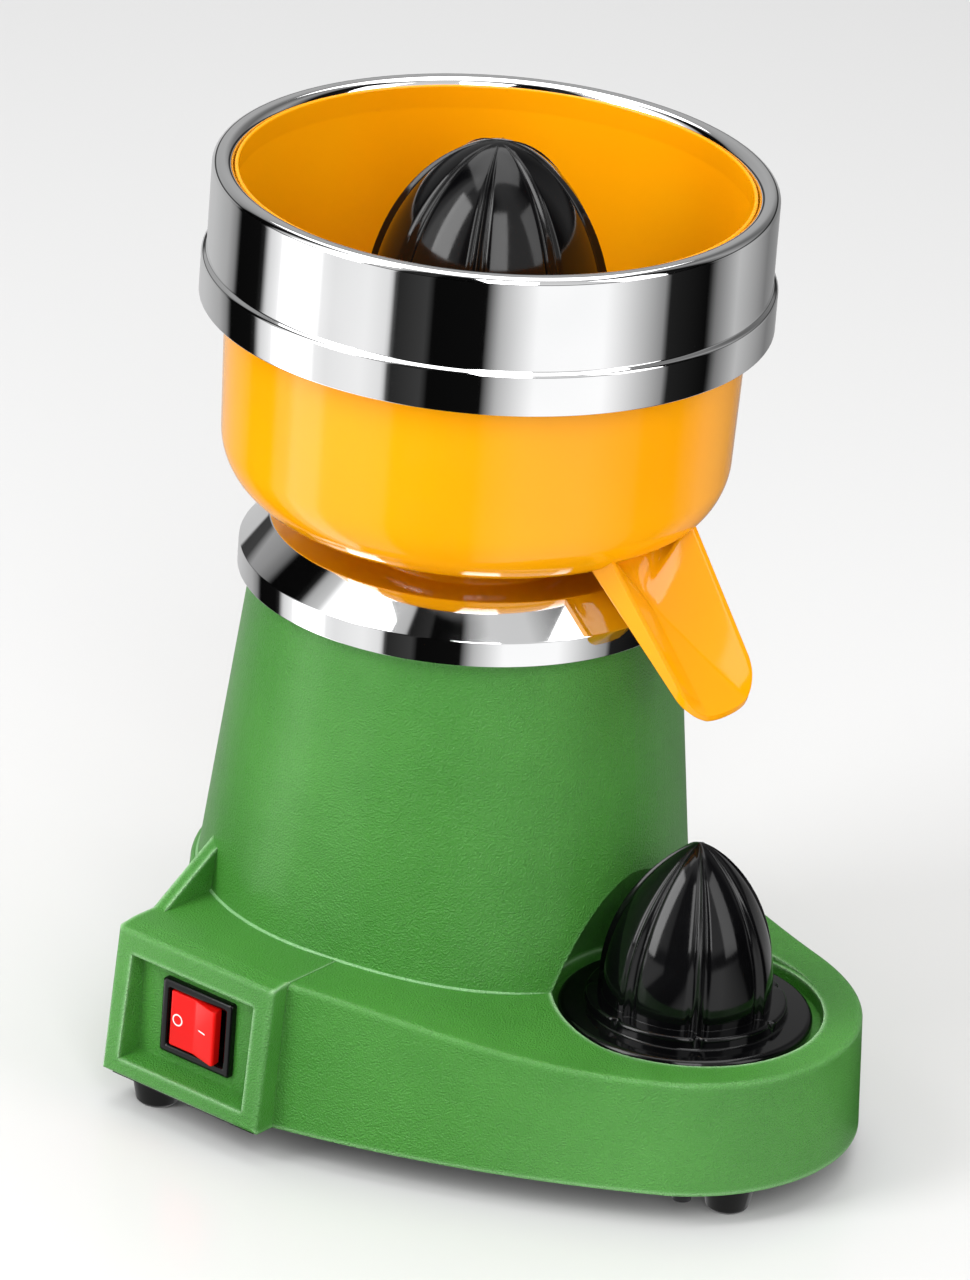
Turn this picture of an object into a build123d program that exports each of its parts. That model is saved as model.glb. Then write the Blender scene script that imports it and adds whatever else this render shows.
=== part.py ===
"""Electric citrus juicer: cast body with motor and switch, chrome collar and ring, bowl, reamer and spare."""

import math
import os

from build123d import *

os.makedirs("parts", exist_ok=True)

# Driving dimensions, in millimetres. Z is up from the table, +X runs from the drive shaft to the round
# end of the base and -Y is the side with the switch.

# Clearances
fit_gap = 0.3
slide_gap = 0.4
running_gap = 0.05
screw_gap = 0.4

# Cast body
foot_height = 12.0
wall = 4.0
deck_top = 67.0
tongue_top = 54.0
rear_radius = 93.0
tongue_reach = 104.0
tongue_radius = 70.0
tongue_turn = 50.0
flank_bulge = 6.0
base_draft = 3.0
deck_slope_start = 8.0
deck_slope_end = 140.0
deck_edge_radius = 2.0
deck_allowance = 3.0
column_top = 181.0
column_top_radius = 75.5
column_foot_radius = 88.5
column_foot_z = 60.0
flange_height = 6.0
flange_bore = 64.0

# Switch box on the -Y side
box_left = -49.0
box_right = 22.0
box_front = 124.5
box_step = 9.5
box_lean = 5.0
box_lip = 8.0
box_lip_drop = 1.0
box_edge_radius = 1.6
web_thickness = 5.0
web_start = 101.0
web_end = 70.0
web_slope = 0.6
panel_width = 57.0
panel_height = 40.0
panel_depth = 5.0
panel_draft = 8.0
panel_sill = 6.2
panel_wall = 3.5

# Round recess for the spare reamer, and the scoop that clears the column beside it
recess_reach = 111.0
recess_radius = 48.5
recess_depth = 5.0
scoop_margin = 2.0
lift_angle = 30.0

# Feet and bottom plate, with the angles of posts and feet round the shaft or the tongue's middle
plate_inset = 3.0
post_height = 30.0
post_inset = 2.0
rear_post_angle = 150.0
near_tongue_post_angle = -45.0
far_tongue_post_angle = 75.0
rear_foot_circle = 78.0
rear_foot_angle = 115.0
tongue_foot_circle = 56.3
near_tongue_foot_angle = -26.6
far_tongue_foot_angle = 40.0
foot_radius = 9.5
foot_toe_radius = 7.5
foot_edge = 14.5
foot_neck_radius = 4.0
foot_head_radius = 6.0
foot_head_height = 2.5
foot_pocket_gap = 0.5
plate_thickness = 1.5
post_radius = 5.0
plate_screw_radius = 1.75
plate_screw_length = 12.0
plate_screw_head_radius = 3.4
plate_screw_head_height = 2.2
screw_end_gap = 1.0
foot_edge_round = 1.0

# Motor
bearing_bore_radius = 6.0
bearing_radius = 16.0
bearing_width = 10.0
shaft_core_radius = 7.5
stator_radius = 46.0
stator_bore = 26.0
stator_bottom = 95.0
stator_height = 50.0
air_gap = 0.4
winding_inner = 28.5
winding_outer = 38.5
winding_height = 13.0
shield_thickness = 6.0
shield_skirt = 5.5
shield_clearance = 1.0
hub_wall = 5.0
hub_floor = 2.0
upper_bearing_drop = 8.0
lower_bearing_drop = 4.0
bearing_shield_inner = 9.0
bearing_shield_outer = 13.0
bearing_shield_depth = 0.6
tie_bolt_radius = 2.2
tie_bolt_circle = 43.2
tie_bolt_head = 3.4
tie_bolt_head_height = 3.0
tie_bolt_grip = 4.0
tie_bolts_count = 4
motor_screw_circle = 68.5
motor_screw_radius = 2.1
motor_screw_head_radius = 3.6
motor_screw_head_height = 3.0
motor_screw_grip = 9.0
motor_screw_count = 3
vent_circle = 31.0
vent_count = 8
vent_radius = 5.0
slot_count = 24
slot_width = 3.4
winding_round = 4.0
lower_shield_drop = 23.0
fan_radius = 38.0
fan_height = 9.0
fan_blades = 9
fan_blade_thickness = 1.8
fan_hub_radius = 11.0
fan_disc = 1.6
fan_drop = 5.0
end_ring_height = 5.0
end_ring_step = 2.0
end_ring_bore = 16.0

# Collar and shaft end
gasket_thickness = 1.0
gasket_inner = 65.5
gasket_margin = 0.5
collar_radius = 80.5
collar_band = 9.0
collar_flat_radius = 70.5
collar_cone_height = 11.0
collar_edge_radius = 0.9
collar_wall = 3.0
collar_skirt_depth = 6.0
boss_radius = 36.0
boss_height = 9.0
boss_bore = 9.0
seal_radius = 13.0
seal_width = 6.0
seal_lip_gap = 0.1
seal_lip = 1.2
seal_shell = 1.5
drive_flat = 4.4
drive_length = 24.0
shaft_end_gap = 1.0
shaft_chamfer = 0.8

# Bowl
bowl_wall = 2.6
bowl_floor = 3.0
bowl_corner = 24.0
bowl_low_radius = 88.5
bowl_rim_radius = 92.4
bowl_height = 116.5
socket_depth = 5.0
socket_wall = 2.6
chimney_radius = 20.0
chimney_bore = 13.2
chimney_height = 44.0
rim_flange_height = 3.0
rim_flange_width = 3.8
rim_flange_radius = bowl_rim_radius + rim_flange_width
bowl_lip_inset = 2.2
bowl_lip_radius = bowl_rim_radius - bowl_lip_inset
bowl_lip_height = 2.5

# Spout on the bowl, along +X
spout_root = 74.0
spout_end = 116.0
spout_root_half = 24.4
spout_end_half = 19.4
spout_wall = 2.4
spout_root_floor = -1.0
spout_end_floor = -37.5
spout_root_side = 16.0
spout_end_side = 5.5
spout_end_round = 5.0
spout_corner = 6.0
spout_mouth_height = 14.0
spout_inlet = 60.0
spout_mouth_end = 92.0

# Splash ring, sized to slide over the bowl's rim
ring_gap = 0.7
ring_wall = 1.3
ring_wall_radius = rim_flange_radius + ring_gap + ring_wall
ring_step = 1.8
ring_radius = ring_wall_radius + ring_step
ring_height = 49.0
ring_band = 14.0
bead_gap = 0.4
bead_width = ring_wall_radius - bowl_lip_radius - bead_gap
bead_height = 5.0

# Strainer and drive sleeve
strainer_gap = 1.4
strainer_radius = bowl_low_radius - bowl_wall - strainer_gap
strainer_thickness = 1.2
strainer_rise = 9.0
strainer_hub_radius = 23.5
strainer_hub_height = 14.0
strainer_hub_plate = 3.0
strainer_first_row = 34.0
strainer_pitch = 9.5
strainer_row_step = 8
strainer_hole = 1.5
strainer_rows = 5
strainer_row_holes = 24
sleeve_radius = 12.0
sleeve_collar_radius = 17.0
sleeve_collar_height = 4.0
sleeve_reach = 10.0
sleeve_hex_height = 25.0
sleeve_hex = 17.0
clip_radius = 12.8
clip_groove_radius = 11.0
clip_height = 1.4
clip_drop = 2.0
clip_opening = 9.0

# Reamers
reamer_height = 82.0
reamer_radius = 41.5
reamer_ribs = 8
reamer_turn = -60.0
reamer_brim_radius = 47.0
reamer_brim_thickness = 3.0
reamer_dome = 65.0
reamer_dome_power = 0.56
dome_levels = (0.8, 0.6, 0.42, 0.28, 0.16, 0.08, 0.03)
rib_rise = 0.055
rib_width = 2.0
rib_depth = 4.0
rib_start = 6.0
rib_full = 13.0
brim_round = 1.2
socket_height = 26.0
spare_height = 67.5
spare_radius = 29.8
spare_ribs = 7
spare_turn = -45.5
spare_brim_radius = 44.8
spare_brim_height = 4.5
spare_brim_round = 2.0
spare_step_radius = 35.4
spare_step_height = 4.4
spare_dome = 54.0
spare_dome_power = 0.75

# Switch
bezel_width = 32.0
bezel_height = 28.5
bezel_thickness = 2.6
switch_depth = 20.0
switch_body_width = 28.0
switch_body_height = 24.4
rocker_width = 23.5
rocker_height = 21.0
rocker_pivot_depth = 2.0
rocker_pin_radius = 1.6
rocker_throw = 15.0
rocker_back = 4.0
rocker_room = 7.0
wing_undercut = 1.5
wing_thickness = 3.0
pin_reach = 1.2
bezel_chamfer = 0.8
tab_pitch_x = 14.0
tab_pitch_z = 9.0
tab_width = 6.3
tab_thickness = 0.8
tab_length = 9.0

# Electrical pieces in the base
capacitor_radius = 15.0
capacitor_length = 52.0
capacitor_x = 108.0
clip_foot = 22.0
clip_band = 1.5
clip_width = 12.0
block_length = 34.0
block_width = 18.0
block_height = 15.0
block_x = -48.0
block_hole = 2.2
block_hole_depth = 6.0
gland_radius = 8.0
gland_flange_radius = 12.0
gland_flange = 4.0
gland_bore = 3.8
gland_nut = 4.0
gland_thread_end = 2.0
gland_chamfer = 0.8
gland_z = 34.0
gland_boss_radius = 14.0
gland_boss_proud = 1.5
gland_boss_inside = 3.0

# Worked-out levels and places
plate_z = foot_height - plate_thickness
box_y = -box_front
flank_y = -(box_front - box_step)
box_middle = (box_left + box_right) / 2
panel_z = foot_height + panel_sill + panel_height / 2
panel_y = box_y + box_lean + panel_depth
recess_floor = tongue_top - recess_depth
collar_z = column_top + gasket_thickness
collar_flat_z = collar_z + collar_band + collar_cone_height
boss_top = collar_flat_z + boss_height
bowl_z = boss_top
rim_z = bowl_z + bowl_height
stator_top = stator_bottom + stator_height
upper_shield_top = column_top - flange_height
upper_shield_z = upper_shield_top - shield_thickness
lower_shield_z = stator_bottom - lower_shield_drop
chimney_top = bowl_z + chimney_height
lift_slope = math.tan(math.radians(lift_angle))
upper_bearing_z = upper_shield_z - upper_bearing_drop
lower_bearing_z = lower_shield_z - lower_bearing_drop
fan_z = lower_bearing_z - hub_floor - fan_drop - fan_height
shaft_bottom = fan_z - shaft_end_gap
seal_z = boss_top - collar_wall - seal_width
sleeve_bottom = chimney_top - sleeve_reach
drive_start = sleeve_bottom - shaft_end_gap
shaft_top = drive_start + drive_length
clip_z = chimney_top - clip_drop
collar_skirt_radius = flange_bore - fit_gap

# The shaft's axis is X = Y = 0 while the pieces are made; the files have their origin on the table under
# the middle of the whole machine, between the ring's rear and the tongue's end, the ring's side and the box
to_origin = Pos((ring_radius - tongue_reach - tongue_radius) / 2, (box_front - ring_radius) / 2, 0)


def column_radius(z):
    """Outer radius of the column's cone at a height."""
    share = (z - column_foot_z) / (column_top - column_foot_z)
    return column_foot_radius + (column_top_radius - column_foot_radius) * share


def base_plan(inset):
    """Outline of the base: rear and tongue circles, far tangent and the bulged flank by the switch box."""
    rear = rear_radius - inset
    tongue = tongue_radius - inset
    turn = math.radians(tongue_turn)
    flank_end = (tongue_reach + tongue * math.cos(turn), -tongue * math.sin(turn))
    flank_start = (box_right - inset, flank_y + inset)
    middle_x = (flank_start[0] + flank_end[0]) / 2
    middle_y = (flank_start[1] + flank_end[1]) / 2
    run_x = flank_end[0] - flank_start[0]
    run_y = flank_end[1] - flank_start[1]
    run = math.hypot(run_x, run_y)
    bulge = (middle_x + flank_bulge * run_y / run, middle_y - flank_bulge * run_x / run)
    far_turn = math.asin((rear - tongue) / tongue_reach)
    rear_tangent = (rear * math.sin(far_turn), rear * math.cos(far_turn))
    tongue_tangent = (tongue_reach + tongue * math.sin(far_turn), tongue * math.cos(far_turn))
    near_turn = math.atan2(flank_start[1], flank_start[0]) - math.acos(rear / math.hypot(*flank_start))
    near_tangent = (rear * math.cos(near_turn), rear * math.sin(near_turn))
    with BuildSketch() as plan:
        with BuildLine():
            Line(tongue_tangent, rear_tangent)
            ThreePointArc(rear_tangent, (-rear, 0), near_tangent)
            Line(near_tangent, flank_start)
            ThreePointArc(flank_start, bulge, flank_end)
            ThreePointArc(flank_end, (tongue_reach + tongue, 0), tongue_tangent)
        make_face()
    return plan.sketch


def deck_cut(drop):
    """Everything above the base's top face, which slopes down in a soft S from the column to the tongue."""
    far = 2 * rear_radius + tongue_reach
    with BuildSketch(Plane.XZ) as region:
        with BuildLine():
            start = (-far, deck_top - drop)
            end = (far, tongue_top - drop)
            knees = [(deck_slope_start, deck_top - drop), (deck_slope_end, tongue_top - drop)]
            slope = Spline(knees[0], knees[1], tangents=[(1, 0), (1, 0)])
            Line(start, slope @ 0)
            Line(slope @ 1, end)
            Line(end, (far, column_top))
            Line((far, column_top), (-far, column_top))
            Line((-far, column_top), start)
        make_face()
    return extrude(region.sketch, amount=far, both=True, mode=Mode.PRIVATE)


def switch_box():
    """Block that carries the switch: leaning front face and a sloped lip along its top."""
    back = -rear_radius / 2
    with BuildSketch(Plane.YZ.offset(box_left)) as side:
        with BuildLine():
            Polyline(
                (box_y, foot_height),
                (box_y + box_lean, deck_top - box_lip_drop),
                (box_y + box_lean + box_lip, deck_top),
                (back, deck_top),
                (back, foot_height),
                close=True,
            )
        make_face()
    return extrude(side.sketch, amount=box_right - box_left, mode=Mode.PRIVATE)


def scoop(margin):
    """Round way for the spare reamer's brim out of the recess, slanted away from the column."""
    run = column_top - tongue_top
    with BuildSketch(Plane.XY.offset(tongue_top)) as round_way:
        with Locations((recess_reach, 0)):
            Circle(recess_radius + margin)
    return extrude(round_way.sketch, amount=run, dir=(lift_slope, 0, 1), mode=Mode.PRIVATE)


def polar(middle_x, radius, angle):
    """Point at a radius and an angle in degrees round a middle on the X axis."""
    turn = math.radians(angle)
    return (middle_x + radius * math.cos(turn), radius * math.sin(turn))


rear_post_circle = rear_radius - wall - post_inset
tongue_post_circle = tongue_radius - wall - post_inset
post_places = [
    polar(0, rear_post_circle, rear_post_angle),
    (box_right - wall - post_radius + post_inset, flank_y + wall + post_radius - post_inset),
    polar(tongue_reach, tongue_post_circle, near_tongue_post_angle),
    polar(tongue_reach, tongue_post_circle, far_tongue_post_angle),
]
box_foot = (box_left + foot_edge, box_y + foot_edge)
foot_places = [
    polar(0, rear_foot_circle, rear_foot_angle),
    box_foot,
    polar(tongue_reach, tongue_foot_circle, near_tongue_foot_angle),
    polar(tongue_reach, tongue_foot_circle, far_tongue_foot_angle),
]
column_root = recess_floor
column_draw = (column_foot_radius - column_top_radius) / (column_top - column_foot_z)
column_taper = math.degrees(math.atan(column_draw))
gland_face = -rear_radius - gland_boss_proud
gland_inner_face = -rear_radius + wall + gland_boss_inside
gland_plane = Plane(origin=(gland_face, 0, gland_z), x_dir=(0, -1, 0), z_dir=(1, 0, 0))

# Hollow inside the cast body, kept a wall away from the outside, the recess and its scoop
with BuildPart() as hollow:
    with BuildSketch(Plane.XY.offset(foot_height)):
        add(base_plan(wall))
    extrude(amount=deck_top - foot_height, taper=base_draft)
    add(deck_cut(wall), mode=Mode.SUBTRACT)
    with BuildSketch(Plane.XY.offset(foot_height)):
        with BuildLine():
            Polyline(
                (box_left + wall, panel_y + panel_wall),
                (box_right - wall, panel_y + panel_wall),
                (box_right - wall, 0),
                (box_left + wall, 0),
                close=True,
            )
        make_face()
    extrude(amount=deck_top - wall - foot_height)
    with BuildSketch(Plane.XY.offset(column_root)):
        Circle(column_radius(column_root) - wall)
    extrude(amount=upper_shield_top - column_root, taper=column_taper)
    add(scoop(scoop_margin + wall), mode=Mode.SUBTRACT)
    with BuildSketch(Plane.XY.offset(recess_floor - wall)):
        with Locations((recess_reach, 0)):
            Circle(recess_radius + wall)
    extrude(amount=recess_depth + wall, mode=Mode.SUBTRACT)
    with BuildSketch(Plane.XY.offset(foot_height)):
        with Locations(*post_places):
            Circle(post_radius)
    extrude(amount=post_height, mode=Mode.SUBTRACT)
    with BuildSketch(gland_plane):
        Circle(gland_boss_radius)
    extrude(amount=gland_inner_face - gland_face, mode=Mode.SUBTRACT)

# Cast body: base block, switch box and column, with the recess, the panel and the screw holes
with BuildPart() as body_casting:
    with BuildSketch(Plane.XY.offset(foot_height)):
        add(base_plan(0))
    extrude(amount=deck_top + deck_allowance - foot_height, taper=base_draft)
    add(deck_cut(0), mode=Mode.SUBTRACT)
    deck = body_casting.faces().filter_by(lambda face: face.normal_at().Z > 0.9)
    seams = [edge for edge in deck.edges() if len([f for f in deck if edge in f.edges()]) > 1]
    fillet([edge for edge in deck.edges() if edge not in seams], deck_edge_radius)
    add(switch_box())
    fillet(body_casting.faces().sort_by(Axis.Y)[0].edges(), box_edge_radius)
    with BuildSketch(Plane.YZ.offset(box_left)):
        with BuildLine():
            Polyline(
                (-web_start, deck_top),
                (-web_end, deck_top + web_slope * (web_start - web_end)),
                (-web_end, column_foot_z),
                (-web_start, column_foot_z),
                close=True,
            )
        make_face()
    extrude(amount=web_thickness)
    with BuildSketch(Plane.XY.offset(column_root)):
        Circle(column_radius(column_root))
    extrude(amount=column_top - column_root, taper=column_taper)
    with BuildSketch(gland_plane):
        Circle(gland_boss_radius)
    extrude(amount=gland_inner_face - gland_face)
    add(scoop(scoop_margin), mode=Mode.SUBTRACT)
    with BuildSketch(Plane.XY.offset(recess_floor)):
        with Locations((recess_reach, 0)):
            Circle(recess_radius)
    extrude(amount=recess_depth, mode=Mode.SUBTRACT)
    add(hollow.part, mode=Mode.SUBTRACT)
    with BuildSketch(Plane.XY.offset(upper_shield_top)):
        Circle(flange_bore)
        with PolarLocations(motor_screw_circle, motor_screw_count):
            Circle(motor_screw_radius + screw_gap)
    extrude(amount=flange_height, mode=Mode.SUBTRACT)
    with BuildSketch(Plane(origin=(box_middle, box_y, panel_z), x_dir=(-1, 0, 0), z_dir=(0, 1, 0))):
        Rectangle(panel_width, panel_height)
    extrude(amount=panel_y - box_y, taper=panel_draft, mode=Mode.SUBTRACT)
    with BuildSketch(Plane(origin=(box_middle, panel_y, panel_z), x_dir=(-1, 0, 0), z_dir=(0, 1, 0))):
        Rectangle(switch_body_width + 2 * fit_gap, switch_body_height + 2 * fit_gap)
    extrude(amount=panel_wall, mode=Mode.SUBTRACT)
    with BuildSketch(Plane.XY.offset(foot_height)):
        with Locations(*post_places):
            Circle(plate_screw_radius + running_gap)
    extrude(amount=plate_screw_length, mode=Mode.SUBTRACT)
    with BuildSketch(Plane.XY.offset(foot_height)):
        with Locations(box_foot):
            Circle(foot_head_radius + foot_pocket_gap)
    extrude(amount=foot_head_height + foot_pocket_gap, mode=Mode.SUBTRACT)
    with BuildSketch(gland_plane):
        Circle(gland_radius + fit_gap)
    extrude(amount=gland_inner_face - gland_face, mode=Mode.SUBTRACT)
body_casting.part.label = "body_casting"
export_step(to_origin * body_casting.part, "parts/body_casting.step")

# Bottom plate under the cast body's rim, with holes for its screws and for the necks of the feet
with BuildPart() as bottom_plate:
    with BuildSketch(Plane.XY.offset(plate_z)):
        add(base_plan(plate_inset))
        with BuildLine():
            Polyline(
                (box_left + plate_inset, box_y + plate_inset),
                (box_right - plate_inset, box_y + plate_inset),
                (box_right - plate_inset, 0),
                (box_left + plate_inset, 0),
                close=True,
            )
        make_face()
        with Locations(*post_places):
            Circle(plate_screw_radius + screw_gap, mode=Mode.SUBTRACT)
        with Locations(*foot_places):
            Circle(foot_neck_radius, mode=Mode.SUBTRACT)
    extrude(amount=plate_thickness)
bottom_plate.part.label = "bottom_plate"
export_step(to_origin * bottom_plate.part, "parts/bottom_plate.step")

# Pan-head screws that hold the bottom plate to the posts
with BuildPart() as plate_screws:
    with BuildSketch(Plane.XY.offset(plate_z - plate_screw_head_height)):
        with Locations(*post_places):
            Circle(plate_screw_head_radius)
    extrude(amount=plate_screw_head_height)
    with BuildSketch(Plane.XY.offset(plate_z)):
        with Locations(*post_places):
            Circle(plate_screw_radius)
    extrude(amount=plate_thickness + plate_screw_length - screw_end_gap)
plate_screws.part.label = "plate_screws"
export_step(to_origin * plate_screws.part, "parts/plate_screws.step")

# Rubber feet: tapered pads with a neck through the plate and a head above it
with BuildPart() as rubber_feet:
    for place in foot_places:
        with BuildSketch(Plane(origin=(place[0], place[1], 0), x_dir=(1, 0, 0), z_dir=(0, -1, 0))):
            with BuildLine():
                Polyline(
                    (0, 0),
                    (foot_toe_radius - foot_edge_round, 0),
                    (foot_toe_radius, foot_edge_round),
                    (foot_radius, plate_z),
                    (foot_neck_radius, plate_z),
                    (foot_neck_radius, foot_height),
                    (foot_head_radius, foot_height),
                    (foot_head_radius, foot_height + foot_head_height),
                    (0, foot_height + foot_head_height),
                    close=True,
                )
            make_face()
        revolve(axis=Axis((place[0], place[1], 0), (0, 0, 1)))
rubber_feet.part.label = "rubber_feet"
export_step(to_origin * rubber_feet.part, "parts/rubber_feet.step")

# Upper end shield: screwed under the column's flange, carries the upper bearing and the stator
with BuildPart() as upper_end_shield:
    with BuildSketch(Plane.XY.offset(upper_shield_z)):
        Circle(column_radius(upper_shield_z) - wall - shield_clearance)
    extrude(amount=shield_thickness)
    with BuildSketch(Plane.XY.offset(upper_bearing_z)):
        Circle(bearing_radius + hub_wall)
    extrude(amount=upper_shield_z - upper_bearing_z)
    with BuildSketch(Plane.XY.offset(stator_top)):
        Circle(stator_radius)
        Circle(stator_radius - shield_skirt, mode=Mode.SUBTRACT)
    extrude(amount=upper_shield_z - stator_top)
    with BuildSketch(Plane.XY.offset(upper_bearing_z)):
        Circle(bearing_radius)
    extrude(amount=bearing_width, mode=Mode.SUBTRACT)
    with BuildSketch(Plane.XY.offset(upper_bearing_z)):
        Circle(boss_bore)
    extrude(amount=upper_shield_top - upper_bearing_z, mode=Mode.SUBTRACT)
    with BuildSketch(Plane.XY.offset(stator_top)):
        with PolarLocations(tie_bolt_circle, tie_bolts_count):
            Circle(tie_bolt_radius)
    extrude(amount=upper_shield_z + tie_bolt_grip - stator_top, mode=Mode.SUBTRACT)
    with BuildSketch(Plane.XY.offset(upper_shield_z)):
        with PolarLocations(motor_screw_circle, motor_screw_count):
            Circle(motor_screw_radius + screw_gap)
        with PolarLocations(vent_circle, vent_count):
            Circle(vent_radius)
    extrude(amount=shield_thickness, mode=Mode.SUBTRACT)
upper_end_shield.part.label = "upper_end_shield"
export_step(to_origin * upper_end_shield.part, "parts/upper_end_shield.step")

# Lower end shield with the lower bearing
with BuildPart() as lower_end_shield:
    with BuildSketch(Plane.XY.offset(lower_shield_z)):
        Circle(stator_radius)
    extrude(amount=shield_thickness)
    with BuildSketch(Plane.XY.offset(lower_bearing_z - hub_floor)):
        Circle(bearing_radius + hub_wall)
    extrude(amount=lower_shield_z + shield_thickness - lower_bearing_z + hub_floor)
    with BuildSketch(Plane.XY.offset(lower_shield_z + shield_thickness)):
        Circle(stator_radius)
        Circle(stator_radius - shield_skirt, mode=Mode.SUBTRACT)
    extrude(amount=stator_bottom - lower_shield_z - shield_thickness)
    with BuildSketch(Plane.XY.offset(lower_bearing_z)):
        Circle(bearing_radius)
    extrude(amount=bearing_width, mode=Mode.SUBTRACT)
    with BuildSketch(Plane.XY.offset(lower_bearing_z - hub_floor)):
        Circle(boss_bore)
    extrude(amount=hub_floor, mode=Mode.SUBTRACT)
    with BuildSketch(Plane.XY.offset(lower_shield_z)):
        with PolarLocations(tie_bolt_circle, tie_bolts_count):
            Circle(tie_bolt_radius + screw_gap)
    extrude(amount=stator_bottom - lower_shield_z, mode=Mode.SUBTRACT)
    with BuildSketch(Plane.XY.offset(lower_shield_z)):
        with PolarLocations(vent_circle, vent_count):
            Circle(vent_radius)
    extrude(amount=shield_thickness, mode=Mode.SUBTRACT)
lower_end_shield.part.label = "lower_end_shield"
export_step(to_origin * lower_end_shield.part, "parts/lower_end_shield.step")

# Stator core with winding slots and holes for the tie bolts
with BuildPart() as stator_core:
    with BuildSketch(Plane.XY.offset(stator_bottom)):
        Circle(stator_radius)
        Circle(stator_bore, mode=Mode.SUBTRACT)
        with PolarLocations(winding_inner, slot_count):
            SlotOverall(2 * (winding_inner - stator_bore) + slot_width, slot_width, mode=Mode.SUBTRACT)
        with PolarLocations(tie_bolt_circle, tie_bolts_count):
            Circle(tie_bolt_radius + screw_gap, mode=Mode.SUBTRACT)
    extrude(amount=stator_height)
stator_core.part.label = "stator_core"
export_step(to_origin * stator_core.part, "parts/stator_core.step")

# End turns of the windings on both ends of the core
with BuildPart() as upper_winding:
    with BuildSketch(Plane.XY.offset(stator_top)):
        Circle(winding_outer)
        Circle(winding_inner, mode=Mode.SUBTRACT)
    extrude(amount=winding_height)
    fillet(upper_winding.faces().sort_by(Axis.Z)[-1].edges(), winding_round)
upper_winding.part.label = "upper_winding"
export_step(to_origin * upper_winding.part, "parts/upper_winding.step")

with BuildPart() as lower_winding:
    with BuildSketch(Plane.XY.offset(stator_bottom - winding_height)):
        Circle(winding_outer)
        Circle(winding_inner, mode=Mode.SUBTRACT)
    extrude(amount=winding_height)
    fillet(lower_winding.faces().sort_by(Axis.Z)[0].edges(), winding_round)
lower_winding.part.label = "lower_winding"
export_step(to_origin * lower_winding.part, "parts/lower_winding.step")

# Tie bolts from the lower shield through the core into the upper shield
with BuildPart() as tie_bolts:
    with BuildSketch(Plane.XY.offset(lower_shield_z - tie_bolt_head_height)):
        with PolarLocations(tie_bolt_circle, tie_bolts_count):
            RegularPolygon(tie_bolt_head, 6)
    extrude(amount=tie_bolt_head_height)
    with BuildSketch(Plane.XY.offset(lower_shield_z)):
        with PolarLocations(tie_bolt_circle, tie_bolts_count):
            Circle(tie_bolt_radius)
    extrude(amount=upper_shield_z + tie_bolt_grip - lower_shield_z)
tie_bolts.part.label = "tie_bolts"
export_step(to_origin * tie_bolts.part, "parts/tie_bolts.step")

# Screws from inside the motor through shield, flange and gasket into the collar
with BuildPart() as motor_screws:
    with BuildSketch(Plane.XY.offset(upper_shield_z - motor_screw_head_height)):
        with PolarLocations(motor_screw_circle, motor_screw_count):
            Circle(motor_screw_head_radius)
    extrude(amount=motor_screw_head_height)
    with BuildSketch(Plane.XY.offset(upper_shield_z)):
        with PolarLocations(motor_screw_circle, motor_screw_count):
            Circle(motor_screw_radius)
    extrude(amount=collar_z + motor_screw_grip - upper_shield_z)
motor_screws.part.label = "motor_screws"
export_step(to_origin * motor_screws.part, "parts/motor_screws.step")

# Two ball bearings, drawn as closed rings with grooved side shields
with BuildPart() as upper_bearing:
    with BuildSketch(Plane.XY.offset(upper_bearing_z)):
        Circle(bearing_radius)
        Circle(bearing_bore_radius + running_gap, mode=Mode.SUBTRACT)
    extrude(amount=bearing_width)
    with BuildSketch(Plane.XY.offset(upper_bearing_z)):
        Circle(bearing_shield_outer)
        Circle(bearing_shield_inner, mode=Mode.SUBTRACT)
    extrude(amount=bearing_shield_depth, mode=Mode.SUBTRACT)
upper_bearing.part.label = "upper_bearing"
export_step(to_origin * upper_bearing.part, "parts/upper_bearing.step")

with BuildPart() as lower_bearing:
    with BuildSketch(Plane.XY.offset(lower_bearing_z)):
        Circle(bearing_radius)
        Circle(bearing_bore_radius + running_gap, mode=Mode.SUBTRACT)
    extrude(amount=bearing_width)
    with BuildSketch(Plane.XY.offset(lower_bearing_z)):
        Circle(bearing_shield_outer)
        Circle(bearing_shield_inner, mode=Mode.SUBTRACT)
    extrude(amount=bearing_shield_depth, mode=Mode.SUBTRACT)
lower_bearing.part.label = "lower_bearing"
export_step(to_origin * lower_bearing.part, "parts/lower_bearing.step")

# Drive shaft: journals, a thicker core for the rotor and two flats at the top
with BuildPart() as drive_shaft:
    with BuildSketch(Plane.XY.offset(shaft_bottom)):
        Circle(bearing_bore_radius)
    extrude(amount=shaft_top - shaft_bottom)
    with BuildSketch(Plane.XY.offset(lower_bearing_z + bearing_width)):
        Circle(shaft_core_radius)
    extrude(amount=upper_bearing_z - lower_bearing_z - bearing_width)
    chamfer(drive_shaft.faces().sort_by(Axis.Z)[-1].edges(), shaft_chamfer)
    with BuildSketch(Plane.XY.offset(drive_start)):
        with Locations((0, drive_flat + bearing_bore_radius), (0, -drive_flat - bearing_bore_radius)):
            Rectangle(4 * bearing_bore_radius, 2 * bearing_bore_radius)
    extrude(amount=shaft_top - drive_start, mode=Mode.SUBTRACT)
drive_shaft.part.label = "drive_shaft"
export_step(to_origin * drive_shaft.part, "parts/drive_shaft.step")

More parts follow.
